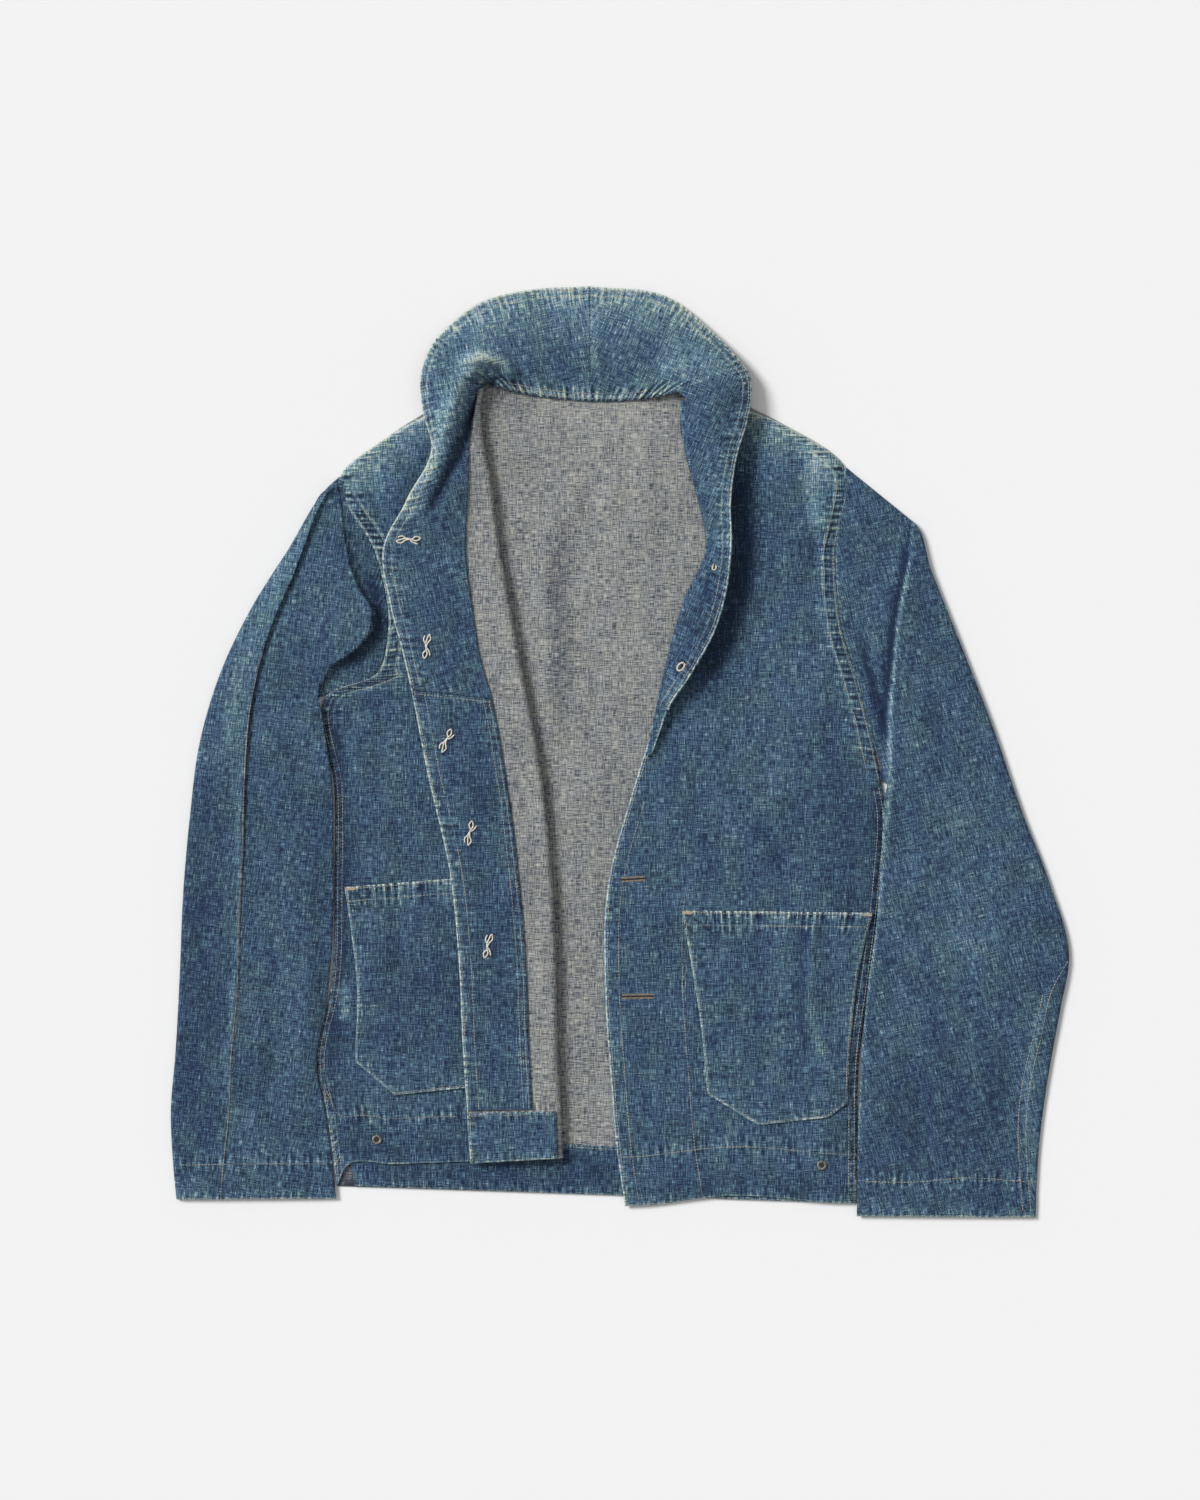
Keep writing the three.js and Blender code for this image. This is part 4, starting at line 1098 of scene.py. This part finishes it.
def left_sleeve_rows():
    """The left sleeve's rings, plain but for the hollow along its armhole."""
    rows = []
    for inner, outer, rise in zip(sleeve_left_in[:-1], sleeve_left_out[:-1], sleeve_left_rise[:-1]):
        row = [(*mix(inner, outer, s), risen(rise, s)) for s in LEFT_SHARES]
        rows.append((row, row))
    heights = np.array([risen(sleeve_left_rise[-1], s) for s in LEFT_SHARES])
    fold = np.column_stack([spread(fold_left, LEFT_SHARES), heights])
    arm = armhole_row(side_left, 1, LEFT_SHARES)
    return tube(rows + folded_under(fold, arm, heights - HOLLOW_LEFT_RISE), OVERHANG_LEFT, True)


def pressed(rows, folds, reverse):
    """A sleeve's fine grid, with its folds in the upper layer only."""
    half = rows.shape[1] // 2
    under = range(half, 2 * half - 1) if reverse else range(1, half)
    grid, _, places = refine(rows, SLEEVE_STEP, under)
    top = grid[:, :places[half]] if reverse else grid[:, places[half]:]
    top[..., 2] += strokes(top, folds) * soft_step(top[..., 2], *UPPER_LAYER)
    return grid


SLEEVE_SEAMS = [("start", 0, 0.4, 0.9), ("start", 33, 0.7, 0.2), ("end", 0, 0.3, 0.3)]
sleeve_grid = pressed(right_sleeve_rows(), SLEEVE_RIGHT_FOLDS, False)
sleeve_right = cloth(
    "sleeve_right", [sleeve_grid], seams=SLEEVE_SEAMS, ring=True, grain=-8,
    wear_and_painted_light=[
        ([(-258, 246), (-294, 180), (-328, 104), (-348, 40), (-360, -40)], 0.14, 14, 12),
        # Painted highlight on the lit side of the armpit fold's crest.
        ([(-240, 80), (-232, 110), (-240, 140)], 0.08, 12, 6),
        ([(-384, 10), (-388, -200), (-396, -400)], -0.13, 34),
        (PLEAT_LINE, 0.22, 1.8, 2.4),
        # Painted shade on the low side of the armpit fold.
        ([(-238, 168), (-222, 142), (-219, 118), (-230, 98), (-248, 84), (-264, 72)], -0.36, 9, 1.5),
        ([(-270, 10), (-268, -120), (-268, -340)], -0.08, 14)])
part_of_jacket(sleeve_right)
sleeve_grid_left = pressed(left_sleeve_rows(), SLEEVE_LEFT_FOLDS, True)
sleeve_left = cloth(
    "sleeve_left", [sleeve_grid_left], seams=SLEEVE_SEAMS, ring=True, grain=14,
    wear_and_painted_light=[
        ([(264, 215), (260, 171), (252, 132), (247, 86), (243, 40), (242, -30), (238, -110)], 0.34, 2, 3),
        # Painted shade beside the fold's edge, in the hollow along the armhole, and in the gap at the
        # armpit.
        ([(261, 218), (256, 171), (248, 132), (242.5, 86), (238, 40), (237, -10)], -0.5, 2.4, 4),
        ([(212, 112), (224, 70), (232, 40), (238, 6)], -0.34, 4, 5),
        ([(197, 100), (205, 70), (215, 38), (225, 4), (233, -24), (238, -52)], -0.6, 4),
        ([(239, -10), (235, -107), (229, -169), (220, -235), (215, -300), (213, -412)], 0.26, 2, 3),
        ([(226, 50), (236, 60), (238, 46), (230, 34)], 0.16, 3),
        ([(300, -20), (312, -120), (310, -220)], 0.06, 40),
        ([(230, -300), (290, -330), (360, -330)], -0.12, 60),
        ([(380, -120), (398, -180), (384, -240)], -0.06, 20),
        ([(404, -180), (386, -216), (372, -270), (368, -330), (372, -420)], 0.14, 5)])
part_of_jacket(sleeve_left)

FELLED_GAP = 7
FELLED = [(403, -186), (387, -216), (379, -252), (370, -289), (365, -326), (366, -376), (369, -414)]
CUFF_RIGHT = [(-396, -371), (-330, -370), (-262, -370)]
CUFF_LEFT = [(218, -386), (270, -386), (308, -382.5), (366, -386)]
FELLED_INNER = [(x - FELLED_GAP, y) for x, y in FELLED[1:]]
sewn("sleeve_stitching", [
    laid_on(sleeve_grid, curve(CUFF_RIGHT, 30)), laid_on(sleeve_grid_left, curve(CUFF_LEFT, 30)),
    laid_on(sleeve_grid_left, curve(FELLED, 12)), laid_on(sleeve_grid_left, curve(FELLED_INNER, 12))])

# The five tack buttons are out of sight between the right front's layers, and keep their solids.
# The two eyelets in the fronts' hems are rolled rings of worn plated brass round a near-black disc of
# painted shade in the hole.
RING, RING_WIRE = 3.3, 1.15
RING_DOWN, RING_FLAT = 0.4, 0.6
HOLE_DOWN, HOLE_DEEP = 0.8, 0.3
METAL = 0.85


def patchy(name, light, dark, roughness, metallic=0):
    """A worn finish, light where it is whole and dark where it is rubbed."""
    return speckled(name, 900.0, [(0.4, dark), (0.6, light)], roughness, 0.3, metallic, 3.0)


brass = patchy("button_brass", (0.3, 0.22, 0.13), (0.12, 0.09, 0.06), 0.35, METAL)
plating = patchy("eyelet_plating", (0.34, 0.33, 0.27), (0.12, 0.1, 0.08), 0.4, METAL)
for number in range(1, 6):
    button = bpy.data.objects[f"button_{number}"]
    button.data.materials.clear()
    button.data.materials.append(brass)
# Near-black painted shade, for the eyelets' holes, the buttonholes' slits and the lapel's worn holes.
hole_shade_dye = speckled("painted_hole_shade", 1500.0, [(0.3, (0.012, 0.012, 0.014)), (0.7, (0.03, 0.03, 0.032))])
for side in ("right", "left"):
    low, high = (Vector(corner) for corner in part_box("eyelet_" + side))
    middle = (low + high) / 2
    bpy.ops.object.select_all(action="DESELECT")
    bpy.ops.mesh.primitive_cylinder_add(
        vertices=24, radius=RING / 1000, depth=HOLE_DEEP / 1000,
        location=(middle.x, middle.y, high.z - HOLE_DOWN / 1000))
    shade_disc = bpy.context.object
    shade_disc.data.materials.append(hole_shade_dye)
    bpy.ops.mesh.primitive_torus_add(
        major_radius=RING / 1000, minor_radius=RING_WIRE / 1000, major_segments=40, minor_segments=12,
        location=(middle.x, middle.y, high.z - RING_DOWN / 1000))
    eyelet = bpy.context.object
    eyelet.name = f"eyelet_{side}_ring"
    eyelet.data.materials.append(plating)
    eyelet.scale.z = RING_FLAT
    bpy.ops.object.shade_smooth()
    shade_disc.select_set(True)
    bpy.ops.object.join()
    bpy.ops.object.transform_apply(location=True, rotation=True, scale=True)
    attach(eyelet, "root")
    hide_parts("eyelet_" + side)


# The tied ends of the button threads on the facing, five small loose bows, then the stitched
# buttonholes of the left front and the worn holes in its lapel.
BOW = [
    (-10, 2.2), (-6, 3.2), (-2, 1), (2, 0), (7, 2.8), (10.5, 1.2), (7, -1), (1, 0.4), (-3, -0.6),
    (-7, -3), (-11, -1.6), (-6, 0.4), (0, 0.8), (3, -2), (8, -4)]
BOWS = [
    (-190, 191, 0, 1), (-174, 95, 85, -1), (-156, 11, 62, 1), (-135, -72, 74, 1), (-119, -174, 80, -1)]
BOW_LIFT, BOW_WAVE = 1.3, 0.3
FACING_TOP = 60
SLITS = [[(0, -114.5), (23, -113)], [(1, -219.5), (30, -219)]]
SLIT_HALF = 1.5
LAPEL_HOLES = [(54, 77, 4.2, 2.6, 50), (84, 166, 2.2, 1.6, 80)]
cream = patchy("tied_thread", (0.82, 0.8, 0.72), (0.6, 0.54, 0.44), 0.6)
tan = patchy("buttonhole_thread", (0.4, 0.33, 0.25), (0.14, 0.12, 0.1), 0.6)


def placed(shape, x, y, angle):
    """A small shape in plan, turned by an angle and set at a place."""
    turn = math.radians(angle)
    along, aside = np.array(shape, float).T
    return np.column_stack([x + along * math.cos(turn) - aside * math.sin(turn),
                            y + along * math.sin(turn) + aside * math.cos(turn)])


bows = []
for x, y, angle, flip in BOWS:
    path = curve(placed([(flip * a, b) for a, b in BOW], x, y, angle), 6)
    line, ways = laid_on(facing_right_grid if y < FACING_TOP else collar_tops["right"], path, BOW_LIFT)
    line[:, 2] += BOW_WAVE * np.sin(np.linspace(0, 9 * math.pi, len(line)))
    bows.append((line, ways))
sewn("tied_button_threads", bows, pitch=0.9, length=1.9, radius=0.62, dye=cream)

slits = [np.linspace(start, end, 24) for start, end in SLITS]
edges = [slit + (0, aside) for slit in slits for aside in (-SLIT_HALF, SLIT_HALF)]
sides = [laid_on(left_grid, edge, lift=0.6) for edge in edges]
sewn("buttonholes", sides, pitch=0.95, length=2.2, radius=0.42, crosswise=True, dye=tan)
# A dark thread of painted shade along each buttonhole's slit.
slit_shades = [laid_on(left_grid, slit, lift=0.7) for slit in slits]
sewn("buttonhole_slit_shade", slit_shades, pitch=0.8, length=1.4, radius=0.7, dye=hole_shade_dye)
circle = np.linspace(0, 2 * math.pi, 26)
rims, gaps = [], []
for x, y, long, short, angle in LAPEL_HOLES:
    rim = np.column_stack([long * np.cos(circle), short * np.sin(circle)])
    rims.append(laid_on(collar_tops["left"], placed(rim, x, y, angle), lift=0.7))
    # A short dark thread of painted shade across each worn hole.
    gap = placed([(-0.1, 0), (0, 0), (1, 0)], x, y, angle)
    gaps.append(laid_on(collar_tops["left"], gap, lift=1.0))
sewn("lapel_hole_rims", rims, pitch=0.8, length=1.9, radius=0.4, crosswise=True, dye=cream)
sewn("lapel_hole_shade", gaps, pitch=0.5, length=5, radius=1.1, dye=hole_shade_dye)
